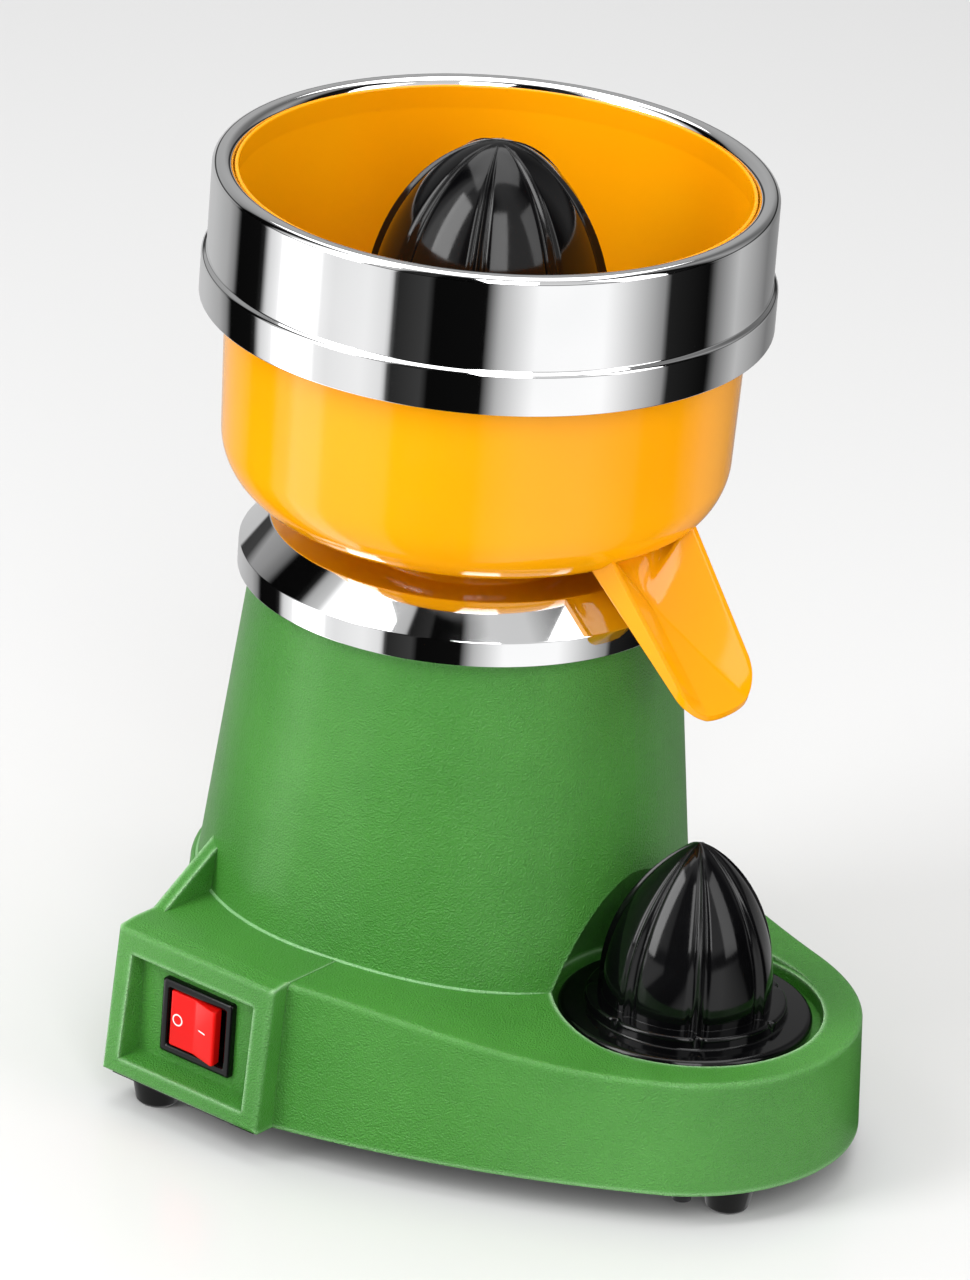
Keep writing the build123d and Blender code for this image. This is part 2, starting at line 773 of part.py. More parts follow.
with BuildPart() as rotor_core:
    with BuildSketch(Plane.XY.offset(stator_bottom)):
        Circle(stator_bore - air_gap)
        Circle(shaft_core_radius, mode=Mode.SUBTRACT)
    extrude(amount=stator_height)
    with BuildSketch(Plane.XY.offset(stator_bottom - end_ring_height)):
        Circle(stator_bore - air_gap - end_ring_step)
        Circle(end_ring_bore, mode=Mode.SUBTRACT)
    extrude(amount=stator_height + 2 * end_ring_height)
rotor_core.part.label = "rotor_core"
export_step(to_origin * rotor_core.part, "parts/rotor_core.step")

# Cooling fan below the lower shield
with BuildPart() as cooling_fan:
    with BuildSketch(Plane.XY.offset(fan_z)):
        Circle(fan_radius)
        Circle(bearing_bore_radius, mode=Mode.SUBTRACT)
    extrude(amount=fan_disc)
    with BuildSketch(Plane.XY.offset(fan_z)):
        Circle(fan_hub_radius)
        Circle(bearing_bore_radius, mode=Mode.SUBTRACT)
        with PolarLocations((fan_hub_radius + fan_radius) / 2, fan_blades):
            Rectangle(fan_radius - fan_hub_radius + fan_blade_thickness, fan_blade_thickness)
    extrude(amount=fan_height)
    with BuildSketch(Plane.XY.offset(fan_z)):
        Circle(2 * fan_radius)
        Circle(fan_radius, mode=Mode.SUBTRACT)
    extrude(amount=fan_height, mode=Mode.SUBTRACT)
cooling_fan.part.label = "cooling_fan"
export_step(to_origin * cooling_fan.part, "parts/cooling_fan.step")

# Gasket between the column and the chrome collar
with BuildPart() as collar_gasket:
    with BuildSketch(Plane.XY.offset(column_top)):
        Circle(column_top_radius - gasket_margin)
        Circle(gasket_inner, mode=Mode.SUBTRACT)
        with PolarLocations(motor_screw_circle, motor_screw_count):
            Circle(motor_screw_radius + screw_gap, mode=Mode.SUBTRACT)
    extrude(amount=gasket_thickness)
collar_gasket.part.label = "collar_gasket"
export_step(to_origin * collar_gasket.part, "parts/collar_gasket.step")

# Chrome collar: a band, a cone, a flat top and the raised boss that carries the bowl
collar_cone_top = collar_z + collar_band
with BuildPart() as collar:
    with BuildSketch(Plane.XZ):
        with BuildLine():
            Polyline(
                (collar_skirt_radius - collar_wall, collar_z - collar_skirt_depth),
                (collar_skirt_radius, collar_z - collar_skirt_depth),
                (collar_skirt_radius, collar_z),
                (collar_radius, collar_z),
                (collar_radius, collar_cone_top),
                (collar_flat_radius, collar_flat_z),
                (boss_radius, collar_flat_z),
                (boss_radius, boss_top),
                (boss_bore, boss_top),
                (boss_bore, boss_top - collar_wall),
                (seal_radius, boss_top - collar_wall),
                (seal_radius, seal_z),
                (seal_radius + collar_wall, seal_z),
                (seal_radius + collar_wall, boss_top - collar_wall),
                (boss_radius - collar_wall, boss_top - collar_wall),
                (boss_radius - collar_wall, collar_flat_z - collar_wall),
                (collar_skirt_radius - collar_wall, collar_flat_z - collar_wall),
                close=True,
            )
        make_face()
    revolve(axis=Axis.Z)
    rims = (collar_radius, collar_cone_top), (collar_flat_radius, collar_flat_z), (boss_radius, boss_top)
    for rim_radius, rim_level in rims:
        circles = collar.edges().filter_by(GeomType.CIRCLE)
        fillet(circles.sort_by_distance((rim_radius, 0, rim_level))[0], collar_edge_radius)
    with BuildSketch(Plane.XY.offset(collar_z)):
        with PolarLocations(motor_screw_circle, motor_screw_count):
            Circle(motor_screw_radius)
    extrude(amount=motor_screw_grip + screw_end_gap, mode=Mode.SUBTRACT)
collar.part.label = "collar"
export_step(to_origin * collar.part, "parts/collar.step")

# Lip seal round the shaft, pressed into the collar from below
with BuildPart() as shaft_seal:
    with BuildSketch(Plane.XZ):
        with BuildLine():
            Polyline(
                (bearing_bore_radius + seal_lip_gap, seal_z + seal_width),
                (bearing_bore_radius + seal_lip_gap, seal_z + seal_width - seal_lip),
                (seal_radius - seal_shell, seal_z + seal_shell),
                (seal_radius - seal_shell, seal_z),
                (seal_radius, seal_z),
                (seal_radius, seal_z + seal_width),
                close=True,
            )
        make_face()
    revolve(axis=Axis.Z)
shaft_seal.part.label = "shaft_seal"
export_step(to_origin * shaft_seal.part, "parts/shaft_seal.step")


def bowl_outer_radius(z):
    """Outer radius of the bowl's wall above its rounded corner."""
    share = (z - bowl_z - bowl_corner) / (bowl_height - bowl_corner)
    return bowl_low_radius + (bowl_rim_radius - bowl_low_radius) * share


def bowl_inside():
    """Solid of revolution that fills the bowl's inside."""
    corner = bowl_corner - bowl_wall
    turn_z = bowl_z + bowl_corner
    floor_z = bowl_z + bowl_floor
    bend = math.sqrt(0.5) * corner
    flat = bowl_low_radius - bowl_corner
    with BuildSketch(Plane.XZ) as filling:
        with BuildLine():
            Line((0, floor_z), (flat, floor_z))
            Line((flat, floor_z), (flat, turn_z - corner))
            ThreePointArc((flat, turn_z - corner), (flat + bend, turn_z - bend), (flat + corner, turn_z))
            Line((flat + corner, turn_z), (bowl_rim_radius - bowl_wall, rim_z))
            Polyline(
                (bowl_rim_radius - bowl_wall, rim_z),
                (bowl_rim_radius - bowl_wall, rim_z + bowl_lip_height),
                (0, rim_z + bowl_lip_height),
                (0, floor_z),
            )
        make_face()
    return revolve(filling.sketch, axis=Axis.Z, mode=Mode.PRIVATE)


def spout_channel(inset, root_height, end_height, start, end):
    """Tapered trough along +X on the spout's sloped floor; inset is the wall that is left round it."""
    faces = []
    for reach, height in ((start, root_height), (end, end_height)):
        share = (reach - spout_root) / (spout_end - spout_root)
        half = spout_root_half + (spout_end_half - spout_root_half) * share - inset
        floor = bowl_z + spout_root_floor + (spout_end_floor - spout_root_floor) * share
        low = floor - spout_wall + inset
        with BuildSketch(Plane(origin=(reach, 0, low), x_dir=(0, 1, 0), z_dir=(1, 0, 0))) as section:
            with BuildLine():
                Polyline(
                    (-half, height + spout_wall - inset),
                    (-half, spout_corner - inset),
                    (-half + spout_corner - inset, 0),
                    (half - spout_corner + inset, 0),
                    (half, spout_corner - inset),
                    (half, height + spout_wall - inset),
                    close=True,
                )
            make_face()
        faces.append(section.sketch.faces()[0])
    return loft(faces, mode=Mode.PRIVATE)


# Open spout: a trough whose walls are rounded at the free end
over = 2 * spout_root_side
past = spout_end + spout_corner
with BuildPart() as spout:
    add(
        spout_channel(0, spout_root_side, spout_end_side, spout_root, spout_end)
        - spout_channel(spout_wall, over, over, spout_inlet, past)
    )
    wall_ends = spout.edges().filter_by(Axis.Y).group_by(Axis.X)[-1].group_by(Axis.Z)[-1]
    fillet(wall_ends, spout_end_round)
spout_trough = spout.part

# Bowl with its chimney, the socket round the collar's boss and the open spout
with BuildPart() as juice_bowl:
    with BuildSketch(Plane.XZ):
        with BuildLine():
            flat = bowl_low_radius - bowl_corner
            bend = math.sqrt(0.5) * bowl_corner
            turn_z = bowl_z + bowl_corner
            Line((0, bowl_z), (flat, bowl_z))
            ThreePointArc((flat, bowl_z), (flat + bend, turn_z - bend), (bowl_low_radius, turn_z))
            Polyline(
                (bowl_low_radius, turn_z),
                (bowl_outer_radius(rim_z - rim_flange_height), rim_z - rim_flange_height),
                (rim_flange_radius, rim_z - rim_flange_height),
                (rim_flange_radius, rim_z),
                (bowl_lip_radius, rim_z),
                (bowl_lip_radius, rim_z + bowl_lip_height),
                (0, rim_z + bowl_lip_height),
                (0, bowl_z),
            )
        make_face()
    revolve(axis=Axis.Z)
    add(spout_trough)
    add(bowl_inside(), mode=Mode.SUBTRACT)
    add(
        spout_channel(spout_wall, spout_mouth_height, spout_mouth_height, spout_inlet, spout_mouth_end),
        mode=Mode.SUBTRACT,
    )
    with BuildSketch(Plane.XY.offset(bowl_z)):
        Circle(chimney_radius)
    extrude(amount=chimney_height)
    with BuildSketch(Plane.XY.offset(bowl_z - socket_depth)):
        Circle(boss_radius + slide_gap + socket_wall)
        Circle(boss_radius + slide_gap, mode=Mode.SUBTRACT)
    extrude(amount=socket_depth)
    with BuildSketch(Plane.XY.offset(bowl_z)):
        Circle(chimney_bore)
    extrude(amount=chimney_height, mode=Mode.SUBTRACT)
juice_bowl.part.label = "juice_bowl"
export_step(to_origin * juice_bowl.part, "parts/juice_bowl.step")

# Chrome splash ring that hangs on the bowl's rim by its rolled bead
ring_z = rim_z + bead_height - ring_height
with BuildPart() as splash_ring:
    with BuildSketch(Plane.XZ):
        with BuildLine():
            bead_middle = ring_wall_radius - bead_width / 2
            bead_top = rim_z + bead_height
            Polyline(
                (ring_wall_radius - bead_width, rim_z),
                (ring_wall_radius - ring_wall, rim_z),
                (ring_wall_radius - ring_wall, ring_z + ring_band),
                (ring_radius - ring_wall, ring_z + ring_band - ring_step),
                (ring_radius - ring_wall, ring_z),
                (ring_radius, ring_z),
                (ring_radius, ring_z + ring_band),
                (ring_wall_radius, ring_z + ring_band + ring_step),
                (ring_wall_radius, rim_z + bead_height / 2),
            )
            ThreePointArc(
                (ring_wall_radius, rim_z + bead_height / 2),
                (bead_middle, bead_top),
                (ring_wall_radius - bead_width, rim_z + bead_height / 2),
            )
            Line(
                (ring_wall_radius - bead_width, rim_z + bead_height / 2),
                (ring_wall_radius - bead_width, rim_z),
            )
        make_face()
    revolve(axis=Axis.Z)
splash_ring.part.label = "splash_ring"
export_step(to_origin * splash_ring.part, "parts/splash_ring.step")

# Strainer: a shallow perforated cone with a hub that sits on the bowl's chimney
hub_top = chimney_top + strainer_hub_plate
hub_bottom = hub_top - strainer_hub_height
with BuildPart() as strainer:
    with BuildSketch(Plane.XZ):
        with BuildLine():
            Polyline(
                (sleeve_radius + fit_gap, hub_top),
                (sleeve_radius + fit_gap, chimney_top),
                (chimney_radius + slide_gap, chimney_top),
                (chimney_radius + slide_gap, hub_bottom),
                (strainer_hub_radius, hub_bottom),
                (strainer_radius, hub_bottom - strainer_rise),
                (strainer_radius, hub_bottom - strainer_rise + strainer_thickness),
                (strainer_hub_radius, hub_bottom + strainer_thickness),
                (strainer_hub_radius, hub_top),
                close=True,
            )
        make_face()
    revolve(axis=Axis.Z)
    with BuildSketch(Plane.XY.offset(hub_bottom - strainer_rise)):
        for row in range(strainer_rows):
            row_radius = strainer_first_row + row * strainer_pitch
            with PolarLocations(row_radius, strainer_row_holes + row * strainer_row_step):
                Circle(strainer_hole)
    extrude(amount=strainer_rise + strainer_thickness, mode=Mode.SUBTRACT)
strainer.part.label = "strainer"
export_step(to_origin * strainer.part, "parts/strainer.step")

# Drive sleeve: turns in the strainer's hub, slides over the shaft's flats and carries the reamer
reamer_z = hub_top + sleeve_collar_height
with BuildPart() as drive_sleeve:
    with BuildSketch(Plane.XY.offset(sleeve_bottom)):
        Circle(sleeve_radius)
    extrude(amount=hub_top - sleeve_bottom)
    with BuildSketch(Plane.XY.offset(hub_top)):
        Circle(sleeve_collar_radius)
    extrude(amount=sleeve_collar_height)
    with BuildSketch(Plane.XY.offset(reamer_z)):
        RegularPolygon(sleeve_hex / 2, 6, major_radius=False)
    extrude(amount=sleeve_hex_height)
    with BuildSketch(Plane.XY.offset(clip_z)):
        Circle(sleeve_radius)
        Circle(clip_groove_radius, mode=Mode.SUBTRACT)
    extrude(amount=clip_height, mode=Mode.SUBTRACT)
    with BuildSketch(Plane.XY.offset(sleeve_bottom)):
        Circle(bearing_bore_radius + fit_gap)
        flat_away = drive_flat + fit_gap + bearing_bore_radius
        with Locations((0, flat_away), (0, -flat_away)):
            Rectangle(4 * bearing_bore_radius, 2 * bearing_bore_radius, mode=Mode.SUBTRACT)
    extrude(amount=shaft_top + shaft_end_gap - sleeve_bottom, mode=Mode.SUBTRACT)
drive_sleeve.part.label = "drive_sleeve"
export_step(to_origin * drive_sleeve.part, "parts/drive_sleeve.step")

# Open spring clip in the sleeve's groove, under the strainer's hub
with BuildPart() as sleeve_clip:
    with BuildSketch(Plane.XY.offset(clip_z)):
        Circle(clip_radius)
        Circle(clip_groove_radius, mode=Mode.SUBTRACT)
        with Locations((clip_radius, 0)):
            Rectangle(clip_radius, clip_opening, mode=Mode.SUBTRACT)
    extrude(amount=clip_height)
sleeve_clip.part.label = "sleeve_clip"
export_step(to_origin * sleeve_clip.part, "parts/sleeve_clip.step")


def dome_reach(share, radius, power):
    """Radius of a reamer's dome at a share of its height, counted down from the tip."""
    return radius * (1 - (1 - share) ** 2) ** power


def dome_line(skirt_height, dome_height, radius, power):
    """Places on the dome's outline from the skirt's top to just under the tip."""
    skirt_top = (radius, skirt_height)
    return [skirt_top] + [
        (dome_reach(share, radius, power), skirt_height + dome_height * (1 - share)) for share in dome_levels
    ]


def ribbed_dome(skirt_height, dome_height, radius, ribs, power):
    """Pointed dome on a straight skirt, turned from its outline, with upright ribs that stand out of it."""
    line = dome_line(skirt_height, dome_height, radius, power)
    tip = (0, skirt_height + dome_height)
    with BuildPart() as dome:
        with BuildSketch(Plane.XZ):
            with BuildLine():
                Polyline((0, skirt_height), (0, 0), (radius, 0), (radius, skirt_height))
                Spline(*line, tip, tangents=((0, 1), (-1, 0)))
                Line(tip, (0, skirt_height))
            make_face()
        revolve(axis=Axis.Z)
        outer = []
        for reach, level in line:
            grown = (reach - rib_start) / (rib_full - rib_start)
            outer.append((reach + rib_rise * radius * min(grown, 1), level))
        with BuildSketch(Plane.XZ) as rib:
            with BuildLine():
                Line((radius - rib_depth, 0), (outer[0][0], 0))
                Line((outer[0][0], 0), outer[0])
                Spline(*outer, tangents=((0, 1), (-1, 0.3)))
                Line(outer[-1], (0, outer[-1][1] - rib_depth))
                Line((0, outer[-1][1] - rib_depth), (0, skirt_height))
                Line((0, skirt_height), (radius - rib_depth, 0))
            make_face()
        fin = extrude(rib.sketch, amount=rib_width / 2, both=True, mode=Mode.PRIVATE)
        for number in range(ribs):
            add(Rot(0, 0, 360 * number / ribs) * fin)
    return dome.part


# Fitted reamer and the smaller spare one, both with the hexagon socket
reamer_skirt = reamer_height - reamer_dome
reamer_form = ribbed_dome(reamer_skirt, reamer_dome, reamer_radius, reamer_ribs, reamer_dome_power)
with BuildPart() as reamer:
    with BuildSketch(Plane.XY.offset(reamer_z)):
        Circle(reamer_brim_radius)
    extrude(amount=reamer_brim_thickness)
    fillet(reamer.faces().sort_by(Axis.Z)[-1].edges(), brim_round)
    add(Pos(0, 0, reamer_z) * Rot(0, 0, reamer_turn) * reamer_form)
    with BuildSketch(Plane.XY.offset(reamer_z)):
        RegularPolygon(sleeve_hex / 2 + fit_gap, 6, major_radius=False)
    extrude(amount=socket_height, mode=Mode.SUBTRACT)
reamer.part.label = "reamer"
export_step(to_origin * reamer.part, "parts/reamer.step")

spare_place = Pos(recess_reach, 0, recess_floor) * Rot(0, 0, spare_turn)
spare_skirt = spare_height - spare_dome
spare_form = ribbed_dome(spare_skirt, spare_dome, spare_radius, spare_ribs, spare_dome_power)
with BuildPart() as spare_reamer:
    with BuildSketch(Plane.XY.offset(recess_floor)):
        with Locations((recess_reach, 0)):
            Circle(spare_brim_radius)
    extrude(amount=spare_brim_height)
    fillet(spare_reamer.faces().sort_by(Axis.Z)[-1].edges(), spare_brim_round)
    with BuildSketch(Plane.XY.offset(recess_floor + spare_brim_height)):
        with Locations((recess_reach, 0)):
            Circle(spare_step_radius)
    extrude(amount=spare_step_height)
    fillet(spare_reamer.faces().sort_by(Axis.Z)[-1].edges(), brim_round)
    add(spare_place * spare_form)
    with BuildSketch(Plane.XY.offset(recess_floor)):
        with Locations((recess_reach, 0)):
            RegularPolygon(sleeve_hex / 2 + fit_gap, 6, major_radius=False)
    extrude(amount=socket_height, mode=Mode.SUBTRACT)
spare_reamer.part.label = "spare_reamer"
export_step(to_origin * spare_reamer.part, "parts/spare_reamer.step")

# Rocker switch: housing with its frame, the rocker on two stub pins and the terminals
switch_plane = Plane(origin=(box_middle, panel_y, panel_z), x_dir=(-1, 0, 0), z_dir=(0, 1, 0))
bezel_y = panel_y - bezel_thickness
pivot_y = panel_y + rocker_pivot_depth
bezel_reach = pivot_y - bezel_y
half_throw = math.radians(rocker_throw / 2)
wing_rise = rocker_width / 2 * math.tan(half_throw)
swing_half = math.hypot(rocker_width / 2, bezel_reach + wing_rise)
swing_turn = math.atan2(bezel_reach + wing_rise, rocker_width / 2) - half_throw
opening_half = swing_half * math.cos(swing_turn) + slide_gap
with BuildPart() as switch_housing:
    with BuildSketch(switch_plane):
        Rectangle(bezel_width, bezel_height)
    extrude(amount=-bezel_thickness)
    chamfer(switch_housing.faces().sort_by(Axis.Y)[0].edges(), bezel_chamfer)
    with BuildSketch(switch_plane):
        Rectangle(switch_body_width, switch_body_height)
    extrude(amount=switch_depth)
    with BuildSketch(switch_plane.offset(-bezel_thickness)):
        Rectangle(2 * opening_half, rocker_height + 2 * slide_gap)
    extrude(amount=bezel_thickness + rocker_pivot_depth + rocker_room, mode=Mode.SUBTRACT)
    with BuildSketch(Plane.XY.offset(panel_z - rocker_height / 2 - pin_reach)):
        with Locations((box_middle, pivot_y)):
            Circle(rocker_pin_radius + running_gap)
    extrude(amount=rocker_height + 2 * pin_reach, mode=Mode.SUBTRACT)
switch_housing.part.label = "switch_housing"
export_step(to_origin * switch_housing.part, "parts/switch_housing.step")

with BuildPart() as rocker:
    with BuildSketch(Plane.XY.offset(panel_z - rocker_height / 2)):
        with BuildLine():
            wing = rocker_width / 2
            face = -bezel_reach
            Polyline(
                (-wing, face - wing_rise),
                (0, face),
                (wing, face - wing_rise),
                (wing - wing_undercut, face + wing_thickness),
                (rocker_back, rocker_back),
                (-rocker_back, rocker_back),
                (-wing + wing_undercut, face + wing_thickness),
                close=True,
            )
        make_face()
    extrude(amount=rocker_height)
    with BuildSketch(Plane.XY.offset(panel_z - rocker_height / 2 - pin_reach)):
        Circle(rocker_pin_radius)
    extrude(amount=rocker_height + 2 * pin_reach)
rocker_rest = Pos(box_middle, pivot_y, 0) * Rot(0, 0, -rocker_throw / 2)
rocker.part = rocker_rest * rocker.part
rocker.part.label = "rocker"
export_step(to_origin * rocker.part, "parts/rocker.step")

with BuildPart() as switch_terminals:
    with BuildSketch(switch_plane.offset(switch_depth)):
        with GridLocations(tab_pitch_x, tab_pitch_z, 2, 2):
            Rectangle(tab_thickness, tab_width)
    extrude(amount=tab_length)
switch_terminals.part.label = "switch_terminals"
export_step(to_origin * switch_terminals.part, "parts/switch_terminals.step")

# Run capacitor on the plate under the recess, held by a strap
capacitor_z = foot_height + clip_band + capacitor_radius
capacitor_plane = Plane(origin=(capacitor_x, 0, capacitor_z), x_dir=(1, 0, 0), z_dir=(0, 1, 0))
with BuildPart() as run_capacitor:
    with BuildSketch(capacitor_plane.offset(-capacitor_length / 2)):
        Circle(capacitor_radius)
    extrude(amount=capacitor_length)
run_capacitor.part.label = "run_capacitor"
export_step(to_origin * run_capacitor.part, "parts/run_capacitor.step")

with BuildPart() as capacitor_clip:
    with BuildSketch(capacitor_plane.offset(-clip_width / 2)):
        Circle(capacitor_radius + clip_band)
        with Locations((0, capacitor_radius + clip_band / 2)):
            Rectangle(2 * clip_foot, clip_band)
        Circle(capacitor_radius, mode=Mode.SUBTRACT)
    extrude(amount=clip_width)
capacitor_clip.part.label = "capacitor_clip"
export_step(to_origin * capacitor_clip.part, "parts/capacitor_clip.step")

# Terminal block on the plate behind the gland
with BuildPart() as terminal_block:
    with BuildSketch(Plane.XY.offset(foot_height)):
        with Locations((block_x, 0)):
            Rectangle(block_width, block_length)
    extrude(amount=block_height)
    with BuildSketch(Plane.XY.offset(foot_height + block_height - block_hole_depth)):
        with Locations((block_x, 0)):
            with GridLocations(block_width / 2, block_length / 3, 2, 3):
                Circle(block_hole)
    extrude(amount=block_hole_depth, mode=Mode.SUBTRACT)
terminal_block.part.label = "terminal_block"
export_step(to_origin * terminal_block.part, "parts/terminal_block.step")

# Cord gland through the rear boss and its nut inside
gland_reach = gland_inner_face - gland_face + gland_nut + gland_thread_end
with BuildPart() as cord_gland:
    with BuildSketch(gland_plane):
        Circle(gland_radius)
    extrude(amount=gland_reach)
    with BuildSketch(gland_plane):
        Circle(gland_flange_radius)
    extrude(amount=-gland_flange)
    chamfer(cord_gland.faces().sort_by(Axis.X)[0].edges(), gland_chamfer)
    with BuildSketch(gland_plane.offset(-gland_flange)):
        Circle(gland_bore)
    extrude(amount=gland_flange + gland_reach, mode=Mode.SUBTRACT)
cord_gland.part.label = "cord_gland"
export_step(to_origin * cord_gland.part, "parts/cord_gland.step")

with BuildPart() as gland_nut_ring:
    with BuildSketch(gland_plane.offset(gland_inner_face - gland_face)):
        RegularPolygon(gland_flange_radius, 6)
        Circle(gland_radius, mode=Mode.SUBTRACT)
    extrude(amount=gland_nut)
gland_nut_ring.part.label = "gland_nut"
export_step(to_origin * gland_nut_ring.part, "parts/gland_nut.step")
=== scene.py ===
"""Citrus juicer: green enamelled casting, chrome ring and collar, orange bowl, black reamers and a
red rocker switch."""

import math

import bmesh
import bpy
import numpy as np
from mathutils import Matrix


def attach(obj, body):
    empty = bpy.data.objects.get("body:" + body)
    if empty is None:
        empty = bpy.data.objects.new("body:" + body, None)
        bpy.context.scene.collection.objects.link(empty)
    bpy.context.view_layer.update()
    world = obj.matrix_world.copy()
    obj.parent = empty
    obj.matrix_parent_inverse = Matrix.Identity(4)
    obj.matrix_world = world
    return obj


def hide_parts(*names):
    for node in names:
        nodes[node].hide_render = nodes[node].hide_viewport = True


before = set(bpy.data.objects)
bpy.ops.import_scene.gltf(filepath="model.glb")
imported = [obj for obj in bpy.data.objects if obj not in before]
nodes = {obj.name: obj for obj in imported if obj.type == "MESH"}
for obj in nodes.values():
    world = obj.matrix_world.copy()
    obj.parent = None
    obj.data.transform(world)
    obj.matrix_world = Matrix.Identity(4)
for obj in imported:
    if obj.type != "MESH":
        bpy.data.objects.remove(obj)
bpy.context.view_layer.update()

# Shapes are worked out in millimetres round the motor's shaft, and MM brings them to the frame's
# metres: where the shaft stands in the frame, where the spare reamer stands from the shaft, and the
# distance in metres within which points become one
MM = 0.001
SHAFT = np.array([-37.0, 12.25, 0.0])
SPARE = np.array([111.0, 0.0])
MERGE_DISTANCE = 2e-6

# Where the dressed pieces stand: levels, radii and distances in millimetres
COLLAR_FOOT = 182.0
COLLAR_RADIUS = 80.5
COLLAR_FLAT = 202.0
COLLAR_FLAT_RADIUS = 70.5
BOWL_FLOOR = 211.0
BOWL_RIM = 327.5
RING_FOOT = 283.5
RING_TOP = 332.5
REAMER_FOOT = 262.0
SPARE_FOOT = 49.0
SOCKET_FLATS = 17.6
SOCKET_DEPTH = 26.0
SOCKET_EDGE = 9.0
SWITCH = np.array([-13.5, 38.2])
PANEL = -114.5
ROCKER_PIVOT = -112.5
ROCKER_REST = math.radians(-7.5)

# Photograph's camera, fitted to it: turn, tilt and roll in radians, distances in millimetres round
# the shaft, focal length and frame in the photograph's pixels
VIEW_TURN, VIEW_TILT, VIEW_ROLL = 0.65167, 0.41857, 0.07831
VIEW_DISTANCE, VIEW_SIDE, VIEW_HEIGHT = 3167.5, 8.37, 156.74
FOCAL_PIXELS, FRAME_HEIGHT = 9000.0, 1280.0
CAMERA_TURN = VIEW_TURN - math.pi / 2
view_right = np.array([math.cos(VIEW_TURN), math.sin(VIEW_TURN), 0.0])
view_level = np.array([-math.sin(VIEW_TURN), math.cos(VIEW_TURN), 0.0])

# Studio that mirror rays see: grey by compass angle in degrees, 0 being the camera's side, and the
# share of it that is left at each height of the ray, from level to straight up
SHEET_LEVEL = 2.4
STUDIO_BANDS = [
    (-180, 0.6), (-147, 0.55), (-138, 0.5), (-126, 0.4), (-119, 0.22), (-116, 0.003), (-101, 0.004),
    (-98, 0.02), (-95, 0.7), (-88, 1.0), (-84, 2.4), (-70, 2.4), (-67, 0.95), (-61, 0.84), (-46, 0.92),
    (-37, 0.78), (-35, 0.02), (-22, 0.045), (-20, 0.003), (0, 0.004), (6, 0.5), (20, 1.05), (46, 1.05),
    (60, 0.6), (72, 0.26), (74, 0.015), (95, 0.003), (100, 0.2), (114, 0.52), (142, 0.2), (160, 0.3),
    (180, 0.6),
]
STUDIO_HEIGHTS = [(0.0, 1.0), (0.05, 1.0), (0.08, 0.08), (0.18, 0.1), (0.25, 0.7), (0.76, 0.6)]
OVERHEAD_GREY = 0.34

# Floor's half width in metres, and the level in millimetres that the lamps face
FLOOR_REACH = 9.0
LAMP_AIM = 180.0

# Range in which most of a noise texture's values lie
NOISE_LOW, NOISE_HIGH = 0.3, 0.7


def rounded(corners, steps):
    """Points along a chain of corners (a, b, rounding). Each corner becomes a circular arc that
    touches both of its sides: its ends lie rounding / tan(half the corner's angle) from the corner,
    and the arc is swept evenly about the point on the bisector that is one rounding away from both
    sides."""
    corners = np.asarray(corners, float)
    spot, rounding = corners[..., :2], corners[..., 2:3]
    to_last = np.roll(spot, 1, axis=-2) - spot
    to_next = np.roll(spot, -1, axis=-2) - spot
    to_last = to_last / np.linalg.norm(to_last, axis=-1, keepdims=True)
    to_next = to_next / np.linalg.norm(to_next, axis=-1, keepdims=True)
    straight = 1 - 1e-6
    half = np.arccos(np.clip((to_last * to_next).sum(-1, keepdims=True), -straight, straight)) / 2
    middle = to_last + to_next
    middle = middle / np.maximum(np.linalg.norm(middle, axis=-1, keepdims=True), 1e-9)
    centre = spot + middle * rounding / np.sin(half)
    first = spot + to_last * rounding / np.tan(half) - centre
    last = spot + to_next * rounding / np.tan(half) - centre
    sweep = math.pi - 2 * half
    share = np.linspace(0, 1, steps)[:, None]
    swept = (
        np.sin((1 - share) * sweep[..., None, :]) * first[..., None, :]
        + np.sin(share * sweep[..., None, :]) * last[..., None, :]
    ) / np.sin(sweep)[..., None, :]
    points = centre[..., None, :] + swept
    return points.reshape(*corners.shape[:-2], -1, 2)


def turned(profile, steps):
    """Surface of revolution: the profile's point (radius, height) at the angle turn goes to
    (radius * cos turn, radius * sin turn, height)."""
    turn = np.linspace(0, 2 * math.pi, steps, endpoint=False)
    radius, height = profile[:, :1], profile[:, 1:]
    across = radius * np.cos(turn)
    return np.stack([across, radius * np.sin(turn), np.broadcast_to(height, across.shape)], axis=-1)


def cells(rows, columns, loop=False):
    """Corner numbers of the four-sided faces of a grid: each point with its next in the row and in
    the column. Each row closes to a ring, and with loop the last row joins the first."""
    number = np.arange(rows * columns).reshape(rows, columns)
    number = np.concatenate([number, number[:, :1]], axis=1)
    if loop:
        number = np.concatenate([number, number[:1]], axis=0)
    corners = number[:-1, :-1], number[:-1, 1:], number[1:, 1:], number[1:, :-1]
    return np.stack(corners, axis=-1).reshape(-1, 4)


